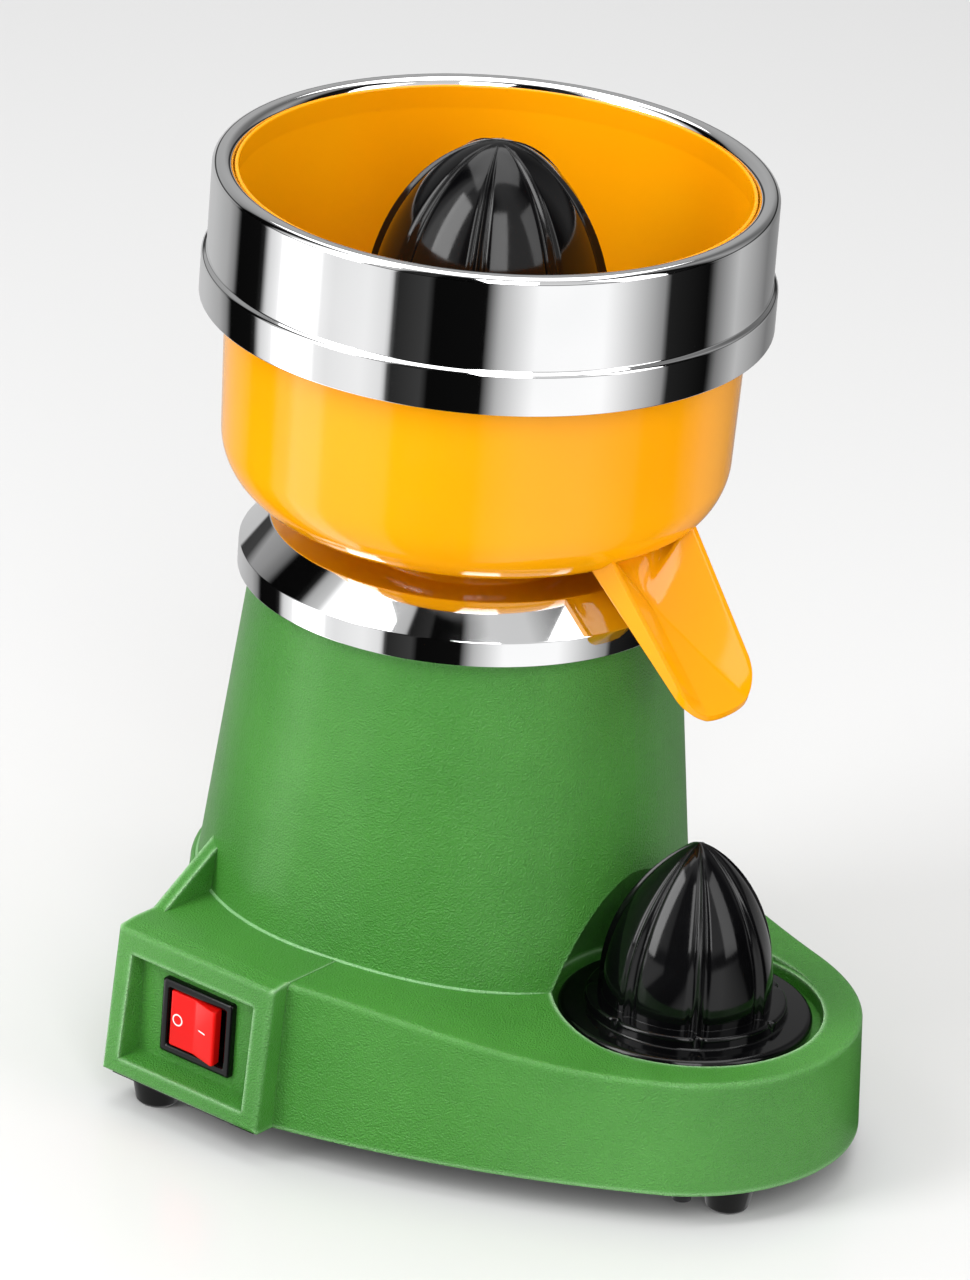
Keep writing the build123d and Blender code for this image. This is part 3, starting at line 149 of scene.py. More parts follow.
def piece(name, points, faces, body, slot, replaced=(), sharp=40.0, caps=(), finish=None):
    """Mesh object from points in millimetres round the shaft and its faces' corner numbers. Points
    that coincide are merged, which closes seams and poles, and the faces are turned outwards."""
    mesh = bpy.data.meshes.new(name)
    corners = faces.tolist() + [list(map(int, cap)) for cap in caps]
    mesh.from_pydata(((points.reshape(-1, 3) + SHAFT) * MM).tolist(), [], corners)
    work = bmesh.new()
    work.from_mesh(mesh)
    bmesh.ops.remove_doubles(work, verts=work.verts, dist=MERGE_DISTANCE)
    bmesh.ops.recalc_face_normals(work, faces=work.faces)
    work.to_mesh(mesh)
    work.free()
    mesh.shade_smooth()
    mesh.set_sharp_from_angle(angle=math.radians(sharp))
    made = bpy.data.objects.new(name, mesh)
    bpy.context.scene.collection.objects.link(made)
    mesh.materials.append(finishes[finish or slot])
    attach(made, body)
    if replaced:
        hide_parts(*replaced)
    return made


def node(tree, kind, inputs=None, **settings):
    """New shader node; each input takes a constant or another node's output."""
    made = tree.nodes.new(kind)
    for key, value in settings.items():
        setattr(made, key, value)
    for key, value in (inputs or {}).items():
        if isinstance(value, bpy.types.NodeSocket):
            tree.links.new(value, made.inputs[key])
        else:
            made.inputs[key].default_value = value
    return made


def effect(name, inputs, outputs):
    """Empty shader node group with named inputs and outputs; returns the group and both end nodes."""
    group = bpy.data.node_groups.new(name, "ShaderNodeTree")
    for label, kind in inputs:
        group.interface.new_socket(label, in_out="INPUT", socket_type=kind)
    for label, kind in outputs:
        group.interface.new_socket(label, in_out="OUTPUT", socket_type=kind)
    return group, group.nodes.new("NodeGroupInput"), group.nodes.new("NodeGroupOutput")


def worked_out(tree, operation, *values):
    """Result of a math node; each value is a number or another node's output."""
    return node(tree, "ShaderNodeMath", dict(enumerate(values)), operation=operation).outputs[0]


def remapped(tree, value, low, high, new_low=0.0, new_high=1.0):
    """Value that runs from low to high, made to run evenly from new_low to new_high."""
    made = node(
        tree, "ShaderNodeMapRange",
        {"Value": value, "From Min": low, "From Max": high, "To Min": new_low, "To Max": new_high},
    )
    return made.outputs["Result"]


def spread(tree, value, low, high):
    """Noise spread over the range from low to high."""
    return remapped(tree, value, NOISE_LOW, NOISE_HIGH, low, high)


def ramp(tree, value, stops):
    """Colour ramp with its stops given as (place, grey)."""
    made = node(tree, "ShaderNodeValToRGB", {"Fac": value})
    elements = made.color_ramp.elements
    while len(elements) < len(stops):
        elements.new(1.0)
    for element, (place, grey) in zip(elements, stops):
        element.position = place
        element.color = (grey, grey, grey, 1.0)
    return made.outputs["Color"]


def blended(tree, share, low, high):
    """Colour that goes from low to high with the share; either may be another node's output."""
    made = node(tree, "ShaderNodeMix", data_type="RGBA")
    tree.links.new(share, made.inputs["Factor"])
    for label, colour in (("A", low), ("B", high)):
        if isinstance(colour, bpy.types.NodeSocket):
            tree.links.new(colour, made.inputs[label])
        else:
            made.inputs[label].default_value = (*colour, 1.0)
    return made.outputs["Result"]


def grain_effect():
    """Leathery grain: soft cells over finer noise as a height, and a slow drift as a tone."""
    fine_ratio, fine_share = 2.3, 0.6
    group, given, result = effect(
        "leather_grain",
        [("Scale", "NodeSocketFloat")],
        [("Height", "NodeSocketFloat"), ("Tone", "NodeSocketFloat")],
    )
    place = node(group, "ShaderNodeTexCoord").outputs["Object"]
    scale = given.outputs["Scale"]
    cell = node(
        group, "ShaderNodeTexVoronoi", {"Vector": place, "Scale": scale, "Smoothness": 0.7},
        feature="SMOOTH_F1",
    )
    fine_scale = worked_out(group, "MULTIPLY", scale, fine_ratio)
    fine = node(group, "ShaderNodeTexNoise", {"Vector": place, "Scale": fine_scale, "Detail": 2.0})
    height = worked_out(
        group, "MULTIPLY_ADD", fine.outputs["Fac"], fine_share, cell.outputs["Distance"]
    )
    slow = node(
        group, "ShaderNodeTexNoise", {"Vector": place, "Scale": 14.0, "Detail": 3.0, "Roughness": 0.6}
    )
    group.links.new(height, result.inputs["Height"])
    group.links.new(slow.outputs["Fac"], result.inputs["Tone"])
    return group


def skin_effect():
    """Uneven moulded or plated skin: a slow drift of tone and fine rub marks, both from 0 to 1."""
    fine_ratio = 9.0
    group, given, result = effect(
        "uneven_skin",
        [("Scale", "NodeSocketFloat")],
        [("Tone", "NodeSocketFloat"), ("Rub", "NodeSocketFloat")],
    )
    place = node(group, "ShaderNodeTexCoord").outputs["Object"]
    scale = given.outputs["Scale"]
    slow = node(group, "ShaderNodeTexNoise", {"Vector": place, "Scale": scale, "Detail": 2.0})
    fine_scale = worked_out(group, "MULTIPLY", scale, fine_ratio)
    fine = node(
        group, "ShaderNodeTexNoise",
        {"Vector": place, "Scale": fine_scale, "Detail": 5.0, "Roughness": 0.65},
    )
    group.links.new(slow.outputs["Fac"], result.inputs["Tone"])
    group.links.new(fine.outputs["Fac"], result.inputs["Rub"])
    return group


def edge_effect():
    """Edges that stand out: rays cast into the material leave it soon there, which gives the mask
    of a painted highlight, kept off the undersides so that only edges lit from above are lightened;
    the normal is rounded over the radius."""
    flat_depth, edge_depth = 0.92, 0.5
    under, level = -0.25, 0.1
    group, given, result = effect(
        "soft_edge_and_highlight",
        [("Radius", "NodeSocketFloat"), ("Reach", "NodeSocketFloat")],
        [("Edge", "NodeSocketFloat"), ("Normal", "NodeSocketVector")],
    )
    bevel = node(group, "ShaderNodeBevel", {"Radius": given.outputs["Radius"]}, samples=4)
    depth = node(
        group, "ShaderNodeAmbientOcclusion", {"Distance": given.outputs["Reach"]},
        inside=True, only_local=True, samples=6,
    )
    facing = node(group, "ShaderNodeSeparateXYZ", {"Vector": bevel.outputs["Normal"]})
    highlight_mask = remapped(group, depth.outputs["AO"], flat_depth, edge_depth)
    # Only edges facing upwards, where light falls from above, keep the mask: it places a painted
    # highlight
    upward = remapped(group, facing.outputs["Z"], under, level)
    group.links.new(worked_out(group, "MULTIPLY", highlight_mask, upward), result.inputs["Edge"])
    group.links.new(bevel.outputs["Normal"], result.inputs["Normal"])
    return group


def band_effect():
    """Grey of the studio round the object by compass angle: white sheets with dark cards between."""
    group, given, result = effect(
        "studio_bands", [("Direction", "NodeSocketVector")], [("Grey", "NodeSocketColor")]
    )
    apart = node(group, "ShaderNodeSeparateXYZ", {"Vector": given.outputs["Direction"]})
    angle = worked_out(group, "ARCTAN2", apart.outputs["Y"], apart.outputs["X"])
    from_camera = worked_out(group, "SUBTRACT", angle, CAMERA_TURN)
    wrapped = worked_out(group, "WRAP", from_camera, math.pi, -math.pi)
    share = remapped(group, wrapped, -math.pi, math.pi)
    stops = [((degrees + 180) / 360, level / SHEET_LEVEL) for degrees, level in STUDIO_BANDS]
    group.links.new(ramp(group, share, stops), result.inputs["Grey"])
    return group


def add_camera():
    """Camera at the photograph's place: it looks along the turned and tilted line at the view's
    middle."""
    ahead = view_level * math.cos(VIEW_TILT) - np.array([0, 0, math.sin(VIEW_TILT)])
    upright = np.cross(view_right, ahead)
    right = math.cos(VIEW_ROLL) * view_right + math.sin(VIEW_ROLL) * upright
    upward = math.cos(VIEW_ROLL) * upright - math.sin(VIEW_ROLL) * view_right
    middle = view_right * VIEW_SIDE + np.array([0, 0, VIEW_HEIGHT])
    spot = (middle - ahead * VIEW_DISTANCE + SHAFT) * MM
    data = bpy.data.cameras.new("photo_camera")
    data.sensor_fit = "VERTICAL"
    data.sensor_height = 36.0
    data.lens = FOCAL_PIXELS / FRAME_HEIGHT * data.sensor_height
    data.clip_end = 50.0
    camera = bpy.data.objects.new("photo_camera", data)
    columns = np.eye(4)
    columns[:3, :3] = np.stack([right, upward, -ahead], axis=1)
    columns[:3, 3] = spot
    camera.matrix_world = Matrix(columns.tolist())
    bpy.context.scene.collection.objects.link(camera)
    bpy.context.scene.camera = camera


def add_lamp(name, side, front, height, wide, tall, watts):
    """Lamp of a width and a height, placed by its distance to the right of, in front of and above
    the shaft, in metres, and turned to face the shaft at the lamps' aim."""
    data = bpy.data.lights.new(name, "AREA")
    data.shape = "RECTANGLE"
    data.size = wide
    data.size_y = tall
    data.energy = watts
    lamp = bpy.data.objects.new(name, data)
    spot = view_right * side - view_level * front + np.array([0, 0, height]) + SHAFT * MM
    target = (SHAFT + np.array([0, 0, LAMP_AIM])) * MM
    back = spot - target
    back = back / np.linalg.norm(back)
    across = np.cross([0.0, 0.0, 1.0], back)
    across = across / np.linalg.norm(across)
    columns = np.eye(4)
    columns[:3, :3] = np.stack([across, np.cross(back, across), back], axis=1)
    columns[:3, 3] = spot
    lamp.matrix_world = Matrix(columns.tolist())
    bpy.context.scene.collection.objects.link(lamp)


def for_mirror_rays(tree, plain, mirrored):
    """Shader that is the mirrored one for mirror rays and the plain one for all others."""
    ray = node(tree, "ShaderNodeLightPath").outputs["Is Glossy Ray"]
    return node(tree, "ShaderNodeMixShader", {0: ray, 1: plain, 2: mirrored}).outputs[0]


def add_world(bands):
    """Even white world. Mirror rays see the studio's bands, dimmed by height, and grey overhead."""
    overhead_from, overhead_full = 0.87, 0.97
    world = bpy.data.worlds.new("studio")
    bpy.context.scene.world = world
    world.use_nodes = True
    tree = world.node_tree
    tree.nodes.clear()
    way = node(tree, "ShaderNodeTexCoord").outputs["Generated"]
    steep = node(tree, "ShaderNodeSeparateXYZ", {"Vector": way}).outputs["Z"]
    around = node(tree, "ShaderNodeGroup", {"Direction": way}, node_tree=bands)
    sheets = node(tree, "ShaderNodeMix", {"Factor": 1.0}, data_type="RGBA", blend_type="MULTIPLY")
    tree.links.new(around.outputs["Grey"], sheets.inputs["A"])
    tree.links.new(ramp(tree, steep, STUDIO_HEIGHTS), sheets.inputs["B"])
    overhead = remapped(tree, steep, overhead_from, overhead_full)
    grey = blended(tree, overhead, sheets.outputs["Result"], (OVERHEAD_GREY,) * 3)
    soft = node(tree, "ShaderNodeBackground", {"Color": (1.0, 1.0, 1.0, 1.0), "Strength": 0.5})
    seen = node(tree, "ShaderNodeBackground", {"Color": grey, "Strength": SHEET_LEVEL})
    shown = for_mirror_rays(tree, soft.outputs[0], seen.outputs[0])
    node(tree, "ShaderNodeOutputWorld", {"Surface": shown})


def add_floor(bands):
    """Pale floor, a square round the object. Mirror rays see the studio's bands on it."""
    paper = bpy.data.materials.new("pale_floor")
    paper.use_nodes = True
    tree = paper.node_tree
    tree.nodes.clear()
    place = node(tree, "ShaderNodeTexCoord").outputs["Object"]
    shaft = tuple(SHAFT * MM)
    about = node(tree, "ShaderNodeVectorMath", {0: place, 1: shaft}, operation="SUBTRACT")
    around = node(tree, "ShaderNodeGroup", {"Direction": about.outputs[0]}, node_tree=bands)
    plain = node(
        tree, "ShaderNodeBsdfPrincipled",
        {"Base Color": (0.73, 0.73, 0.73, 1.0), "Roughness": 0.22, "Specular IOR Level": 0.35},
    )
    grey = around.outputs["Grey"]
    seen = node(tree, "ShaderNodeEmission", {"Color": grey, "Strength": SHEET_LEVEL})
    shown = for_mirror_rays(tree, plain.outputs[0], seen.outputs[0])
    node(tree, "ShaderNodeOutputMaterial", {"Surface": shown})
    corners = np.array([(-1, -1, 0), (1, -1, 0), (1, 1, 0), (-1, 1, 0)]) * FLOOR_REACH
    ground = bpy.data.meshes.new("floor")
    ground.from_pydata(corners.tolist(), [], [(0, 1, 2, 3)])
    ground.materials.append(paper)
    floor = bpy.data.objects.new("floor", ground)
    bpy.context.scene.collection.objects.link(floor)


def add_studio():
    """World, floor and four soft lamps. A lamp's numbers are its distances to the right, in front
    and above, its width and height, all in metres, and its watts."""
    bands = band_effect()
    add_world(bands)
    add_floor(bands)
    add_lamp("left_softbox", -1.65, 0.95, 1.25, 0.8, 2.1, 34.0)
    add_lamp("front_softbox", 0.3, 1.9, 1.5, 0.8, 1.8, 20.0)
    add_lamp("right_softbox", 1.7, 0.9, 1.2, 0.8, 1.8, 10.0)
    add_lamp("top_softbox", -0.1, -0.5, 2.2, 2.0, 2.0, 28.0)


def new_finish(name, sockets):
    """Material with one Principled shader whose constant sockets are set; returns it, its tree and
    the shader."""
    made = bpy.data.materials.new(name)
    made.use_nodes = True
    tree = made.node_tree
    tree.nodes.clear()
    shader = node(tree, "ShaderNodeBsdfPrincipled", sockets)
    node(tree, "ShaderNodeOutputMaterial", {"Surface": shader.outputs[0]})
    return made, tree, shader


def enamel_finish(name, dark, light, glint):
    """Grained stove enamel: drifting green, leathery bump, and a painted highlight, paler green on the
    edges that face upwards.
    """
    highlight_power = 1.5
    smooth, rough = 0.36, 0.44
    made, tree, shader = new_finish(name, {"IOR": 1.5, "Coat Weight": 0.3, "Coat Roughness": 0.2})
    grain = node(tree, "ShaderNodeGroup", {"Scale": 1500.0}, node_tree=effects["grain"])
    edge = node(
        tree, "ShaderNodeGroup", {"Radius": 0.0012, "Reach": 0.0022}, node_tree=effects["edge"]
    )
    body = blended(tree, spread(tree, grain.outputs["Tone"], 0.0, 1.0), dark, light)
    # Painted highlight: the glint colour is laid over the green on edges that face upwards
    painted_highlight = worked_out(tree, "POWER", edge.outputs["Edge"], highlight_power)
    tree.links.new(blended(tree, painted_highlight, body, glint), shader.inputs["Base Color"])
    tree.links.new(spread(tree, grain.outputs["Tone"], smooth, rough), shader.inputs["Roughness"])
    bump = node(
        tree, "ShaderNodeBump",
        {
            "Strength": 1.0, "Distance": 0.0006,
            "Height": grain.outputs["Height"], "Normal": edge.outputs["Normal"],
        },
    )
    tree.links.new(bump.outputs["Normal"], shader.inputs["Normal"])
    return made


def skin_finish(name, dark, light, rough, scale=20.0, edge_radius=0.0, **sockets):
    """Moulded or plated skin: colour drifts between two tones and roughness between two values."""
    constants = {key.replace("_", " "): value for key, value in sockets.items()}
    made, tree, shader = new_finish(name, constants)
    skin = node(tree, "ShaderNodeGroup", {"Scale": scale}, node_tree=effects["skin"])
    tone = spread(tree, skin.outputs["Tone"], 0.0, 1.0)
    tree.links.new(blended(tree, tone, dark, light), shader.inputs["Base Color"])
    tree.links.new(spread(tree, skin.outputs["Rub"], *rough), shader.inputs["Roughness"])
    if edge_radius:
        edge = node(tree, "ShaderNodeGroup", {"Radius": edge_radius}, node_tree=effects["edge"])
        tree.links.new(edge.outputs["Normal"], shader.inputs["Normal"])
    return made


# Finishes by slot: a dark and a light tone, then for an enamel the painted highlight's tone on its
# upper edges, and for a skin two roughnesses, the drift's scale and the edges' radius in metres
effects = {"grain": grain_effect(), "skin": skin_effect(), "edge": edge_effect()}
finishes = {
    # The third colour is the painted highlight laid on the enamel's upper edges
    "green_paint": enamel_finish(
        "green_enamel", (0.044, 0.245, 0.020), (0.066, 0.305, 0.033), (0.42, 0.74, 0.38)
    ),
    # Lit copy of the green enamel, paler all over: a painted highlight for the bead at the column's
    # foot
    "painted_highlight_enamel": enamel_finish(
        "painted_highlight_enamel", (0.13, 0.42, 0.11), (0.17, 0.47, 0.14), (0.28, 0.60, 0.25)
    ),
    "chrome": skin_finish(
        "polished_chrome", (0.88, 0.885, 0.89), (0.94, 0.94, 0.945), (0.03, 0.055), Metallic=1.0
    ),
    "orange_plastic": skin_finish(
        "orange_moulding", (1.0, 0.37, 0.001), (1.0, 0.42, 0.002), (0.08, 0.13), 12.0, 0.0006,
        IOR=1.42,
    ),
    "black_plastic": skin_finish(
        "black_moulding", (0.0015, 0.0015, 0.0018), (0.004, 0.004, 0.0045), (0.07, 0.13), 25.0,
        0.0005, IOR=1.4,
    ),
    "red_plastic": skin_finish(
        "red_moulding", (0.72, 0.004, 0.003), (0.82, 0.008, 0.006), (0.14, 0.2), 40.0, 0.0004,
        IOR=1.3,
    ),
    "black_rubber": skin_finish(
        "black_rubber", (0.004, 0.004, 0.004), (0.009, 0.009, 0.009), (0.3, 0.42), 30.0, 0.0008,
        Specular_IOR_Level=0.12,
    ),
    "black_steel": skin_finish(
        "blackened_steel", (0.02, 0.02, 0.022), (0.04, 0.04, 0.042), (0.3, 0.45), 60.0, Metallic=1.0
    ),
    "white_print": skin_finish(
        "white_print", (0.80, 0.80, 0.79), (0.88, 0.88, 0.87), (0.35, 0.45), 300.0
    ),
    "steel": skin_finish(
        "bare_steel", (0.50, 0.50, 0.51), (0.62, 0.62, 0.63), (0.22, 0.38), 30.0, Metallic=1.0
    ),
    "aluminium": skin_finish(
        "cast_aluminium", (0.62, 0.62, 0.63), (0.74, 0.74, 0.75), (0.35, 0.5), 30.0, Metallic=1.0
    ),
    "copper": skin_finish(
        "varnished_copper", (0.60, 0.25, 0.10), (0.72, 0.34, 0.15), (0.25, 0.4), 60.0, Metallic=1.0
    ),
    "grey_plastic": skin_finish(
        "grey_moulding", (0.28, 0.28, 0.29), (0.36, 0.36, 0.37), (0.4, 0.5), 40.0, 0.0004
    ),
}
for made in nodes.values():
    for holder in made.material_slots:
        slot_name = holder.material.name.split(".")[0] if holder.material else "grey_plastic"
        holder.material = finishes.get(slot_name, finishes["grey_plastic"])


def splash_ring():
    """Chrome ring turned from a closed profile: proud lower band, a step, the plain wall and a rolled
    bead."""
    wall, band, sheet, bead = 98.2, 100.0, 1.3, 7.6
    band_top = RING_FOOT + 14.6
    step_top = band_top + 1.0
    inner = wall - bead
    profile = rounded([
        (band, RING_FOOT, 0.5),
        (band, band_top, 1.4),
        (wall, step_top, 0.7),
        (wall, RING_TOP, 2.7),
        (inner, RING_TOP, 3.4),
        (inner, BOWL_RIM, 0.3),
        (wall - sheet, BOWL_RIM, 0.2),
        (wall - sheet, band_top, 0.5),
        (band - sheet, band_top - 1.2, 0.5),
        (band - sheet, RING_FOOT, 0.5),
    ], 10)
    points = turned(profile, 320)
    faces = cells(*points.shape[:2], loop=True)
    piece("splash_ring_shell", points, faces, "ring", "chrome", ("splash_ring",))


def collar():
    """Chrome collar turned from a closed profile: band, wide cone, flat and boss, hollow below."""
    sheet, band_height = 3.0, 9.0
    boss, seal_hole, hollow = 36.0, 9.0, 66.0
    profile = rounded([
        (COLLAR_RADIUS, COLLAR_FOOT, 0.4),
        (COLLAR_RADIUS, COLLAR_FOOT + band_height, 0.8),
        (COLLAR_FLAT_RADIUS, COLLAR_FLAT, 1.0),
        (boss, COLLAR_FLAT, 1.0),
        (boss, BOWL_FLOOR, 1.0),
        (seal_hole, BOWL_FLOOR, 0.5),
        (seal_hole, BOWL_FLOOR - sheet, 0.3),
        (boss - sheet, BOWL_FLOOR - sheet, 0.8),
        (boss - sheet, COLLAR_FLAT - sheet, 0.8),
        (hollow, COLLAR_FLAT - sheet, 0.8),
        (hollow, COLLAR_FOOT, 0.3),
    ], 9)
    points = turned(profile, 320)
    faces = cells(*points.shape[:2], loop=True)
    piece("collar_shell", points, faces, "base", "chrome", ("collar",))


def reamer_surface(
    radius, height, dome, power, ribs, turn, foot_profile, foot, step_level=math.inf
):
    """Ribbed cone as radius over angle and depth. Below the tip its round body follows
    radius * (1 - (1 - t)^2)^power for the share t of the dome, then a straight skirt. Each rib is a
    bell at its angle, a share of the radius high, with a shallow groove on both sides, fading to the
    tip. On the foot above the step's level each rib leaves a notch. The foot's profile then goes
    round under it and up into a hexagonal socket."""
    dome_rows, skirt_rows, per_rib, crowding = 110, 13, 56, 1.8
    rib_share, rib_width, rib_fade, tip_share = 0.05, 0.85, 0.55, 0.1
    groove_share, groove_place, groove_width = 0.45, 2.4, 1.2
    notch_depth, notch_width = 1.5, 1.3

    columns = ribs * per_rib
    angle = np.linspace(0, 2 * math.pi, columns, endpoint=False) + math.radians(turn)
    apart = (np.arange(columns) % per_rib) / per_rib
    apart = np.minimum(apart, 1 - apart) * 2 * math.pi * radius / ribs
    groove = np.exp(-(((apart - groove_place) / groove_width) ** 2))
    rise = np.exp(-((apart / rib_width) ** 2)) - groove_share * groove

    skirt_top = foot + height - dome
    share = np.linspace(0, 1, dome_rows) ** crowding
    dome_reach = radius * (1 - (1 - share) ** 2) ** power
    dome_level = skirt_top + dome * (1 - share)
    skirt_level = np.linspace(skirt_top, foot_profile[0, 1], skirt_rows + 1)[1:]
    reach = np.concatenate([dome_reach, np.full(skirt_rows, radius)])
    level = np.concatenate([dome_level, skirt_level])
    fade = (reach / radius) ** rib_fade * np.clip(reach / (tip_share * radius), 0, 1)
    body = reach[:, None] + rib_share * radius * fade[:, None] * rise[None, :]

    notch = notch_depth * np.exp(-((apart / notch_width) ** 2))[None, :]
    foot_reach = foot_profile[:, :1] - notch * (foot_profile[:, 1:] > step_level)

    side = math.pi / 3
    hexagon = SOCKET_FLATS / 2 / np.cos((angle + side / 2) % side - side / 2)
    socket_reach = np.stack([hexagon, hexagon, hexagon * 0.0])
    socket_level = [foot, foot + SOCKET_DEPTH, foot + SOCKET_DEPTH]

    all_reach = np.concatenate([body, foot_reach, socket_reach])
    all_level = np.concatenate([level, foot_profile[:, 1], socket_level])
    all_level = np.broadcast_to(all_level[:, None], all_reach.shape)
    return np.stack([all_reach * np.cos(angle), all_reach * np.sin(angle), all_level], axis=-1)


def large_reamer():
    """Reamer in the bowl: eight ribs and a thin brim."""
    radius, brim = 41.5, 47.0
    brim_top = REAMER_FOOT + 3.0
    foot_profile = rounded([
        (radius, brim_top, 0.0),
        (brim, brim_top, 1.2),
        (brim, REAMER_FOOT, 0.4),
        (SOCKET_EDGE, REAMER_FOOT, 0.0),
    ], 7)
    points = reamer_surface(
        radius, height=82.0, dome=65.0, power=0.56, ribs=8, turn=-60.0,
        foot_profile=foot_profile, foot=REAMER_FOOT,
    )
    faces = cells(*points.shape[:2])
    piece("large_reamer", points, faces, "reamer", "black_plastic", ("reamer",), sharp=50.0)


def small_reamer():
    """Spare reamer on the base: seven ribs, a notched step and a wide brim."""
    radius, step, brim = 29.8, 35.4, 44.8
    step_top = SPARE_FOOT + 8.9
    brim_top = SPARE_FOOT + 4.5
    foot_profile = rounded([
        (radius, step_top, 0.0),
        (step, step_top, 1.2),
        (step, brim_top, 0.8),
        (brim, brim_top, 2.2),
        (brim, SPARE_FOOT, 0.6),
        (SOCKET_EDGE, SPARE_FOOT, 0.0),
    ], 8)
    points = reamer_surface(
        radius, height=67.5, dome=54.0, power=0.75, ribs=7, turn=-45.5,
        foot_profile=foot_profile, foot=SPARE_FOOT, step_level=brim_top + 0.9,
    )
    points[..., :2] += SPARE
    faces = cells(*points.shape[:2])
    piece("small_reamer", points, faces, "spare", "black_plastic", ("spare_reamer",), sharp=50.0)


def juice_bowl():
    """Bowl turned from one closed profile: foot socket, floor, rounded corner, wall, flange, lip and
    the chimney inside. The mouth over the spout is left open between two angles and two places on
    the corner's arcs, and its edge joins the outer and the inner skin."""
    chimney_inner, chimney_outer, chimney_top = 13.2, 20.0, 255.0
    foot_inner, foot_outer, foot_low = 36.4, 39.0, 206.0
    outer_foot, outer_top, outer_round = 88.5, 92.3, 23.5
    inner_foot, inner_top, inner_round = 85.6, 89.6, 21.0
    floor_top, flange, flange_low = 213.8, 96.2, 324.0
    lip_inner, lip_outer, lip_low, lip_top = 88.9, 90.3, 322.0, 330.6
    steps, columns = 21, 272
    profile = rounded([
        (chimney_inner, chimney_top, 0.8),
        (chimney_inner, BOWL_FLOOR, 0.4),
        (foot_inner, BOWL_FLOOR, 0.3),
        (foot_inner, foot_low, 0.4),
        (foot_outer, foot_low, 0.6),
        (foot_outer, BOWL_FLOOR, 0.8),
        (outer_foot, BOWL_FLOOR, outer_round),
        (outer_top, flange_low, 0.5),
        (flange, flange_low + 0.5, 0.4),
        (flange, BOWL_RIM, 0.4),
        (lip_outer, BOWL_RIM, 0.3),
        (lip_outer, lip_top, 0.6),
        (lip_inner, lip_top, 0.6),
        (inner_top, lip_low, 6.0),
        (inner_foot, floor_top, inner_round),
        (chimney_outer, floor_top, 3.0),
        (chimney_outer, chimney_top, 0.8),
    ], steps)
    points = np.roll(turned(profile, columns), columns // 2, axis=1)

    outer_corner, inner_corner = 6, 14
    outer, inner = outer_corner * steps, (inner_corner + 1) * steps - 1
    low, high, half_mouth = 4, 11, 11
    left, right = columns // 2 - half_mouth, columns // 2 + half_mouth
    kept = np.ones((len(profile), columns), bool)
    kept[outer + low:outer + high, left:right] = False
    kept[inner - high:inner - low, left:right] = False
    faces = cells(len(profile), columns, loop=True)[kept.ravel()]

    number = np.arange(len(profile) * columns).reshape(len(profile), columns)
    outer_edge = number[outer + low:outer + high + 1, left:right + 1]
    inner_edge = number[inner - high:inner - low + 1, left:right + 1][::-1]
    rims = [(outer_edge[row], inner_edge[row]) for row in (0, -1)]
    rims += [(outer_edge[:, column], inner_edge[:, column]) for column in (0, -1)]
    edges = [np.stack([out[:-1], out[1:], back[1:], back[:-1]], axis=-1) for out, back in rims]
    faces = np.concatenate([faces, *edges])
    piece("bowl_shell", points, faces, "bowl", "orange_plastic", ("juice_bowl",), sharp=55.0)


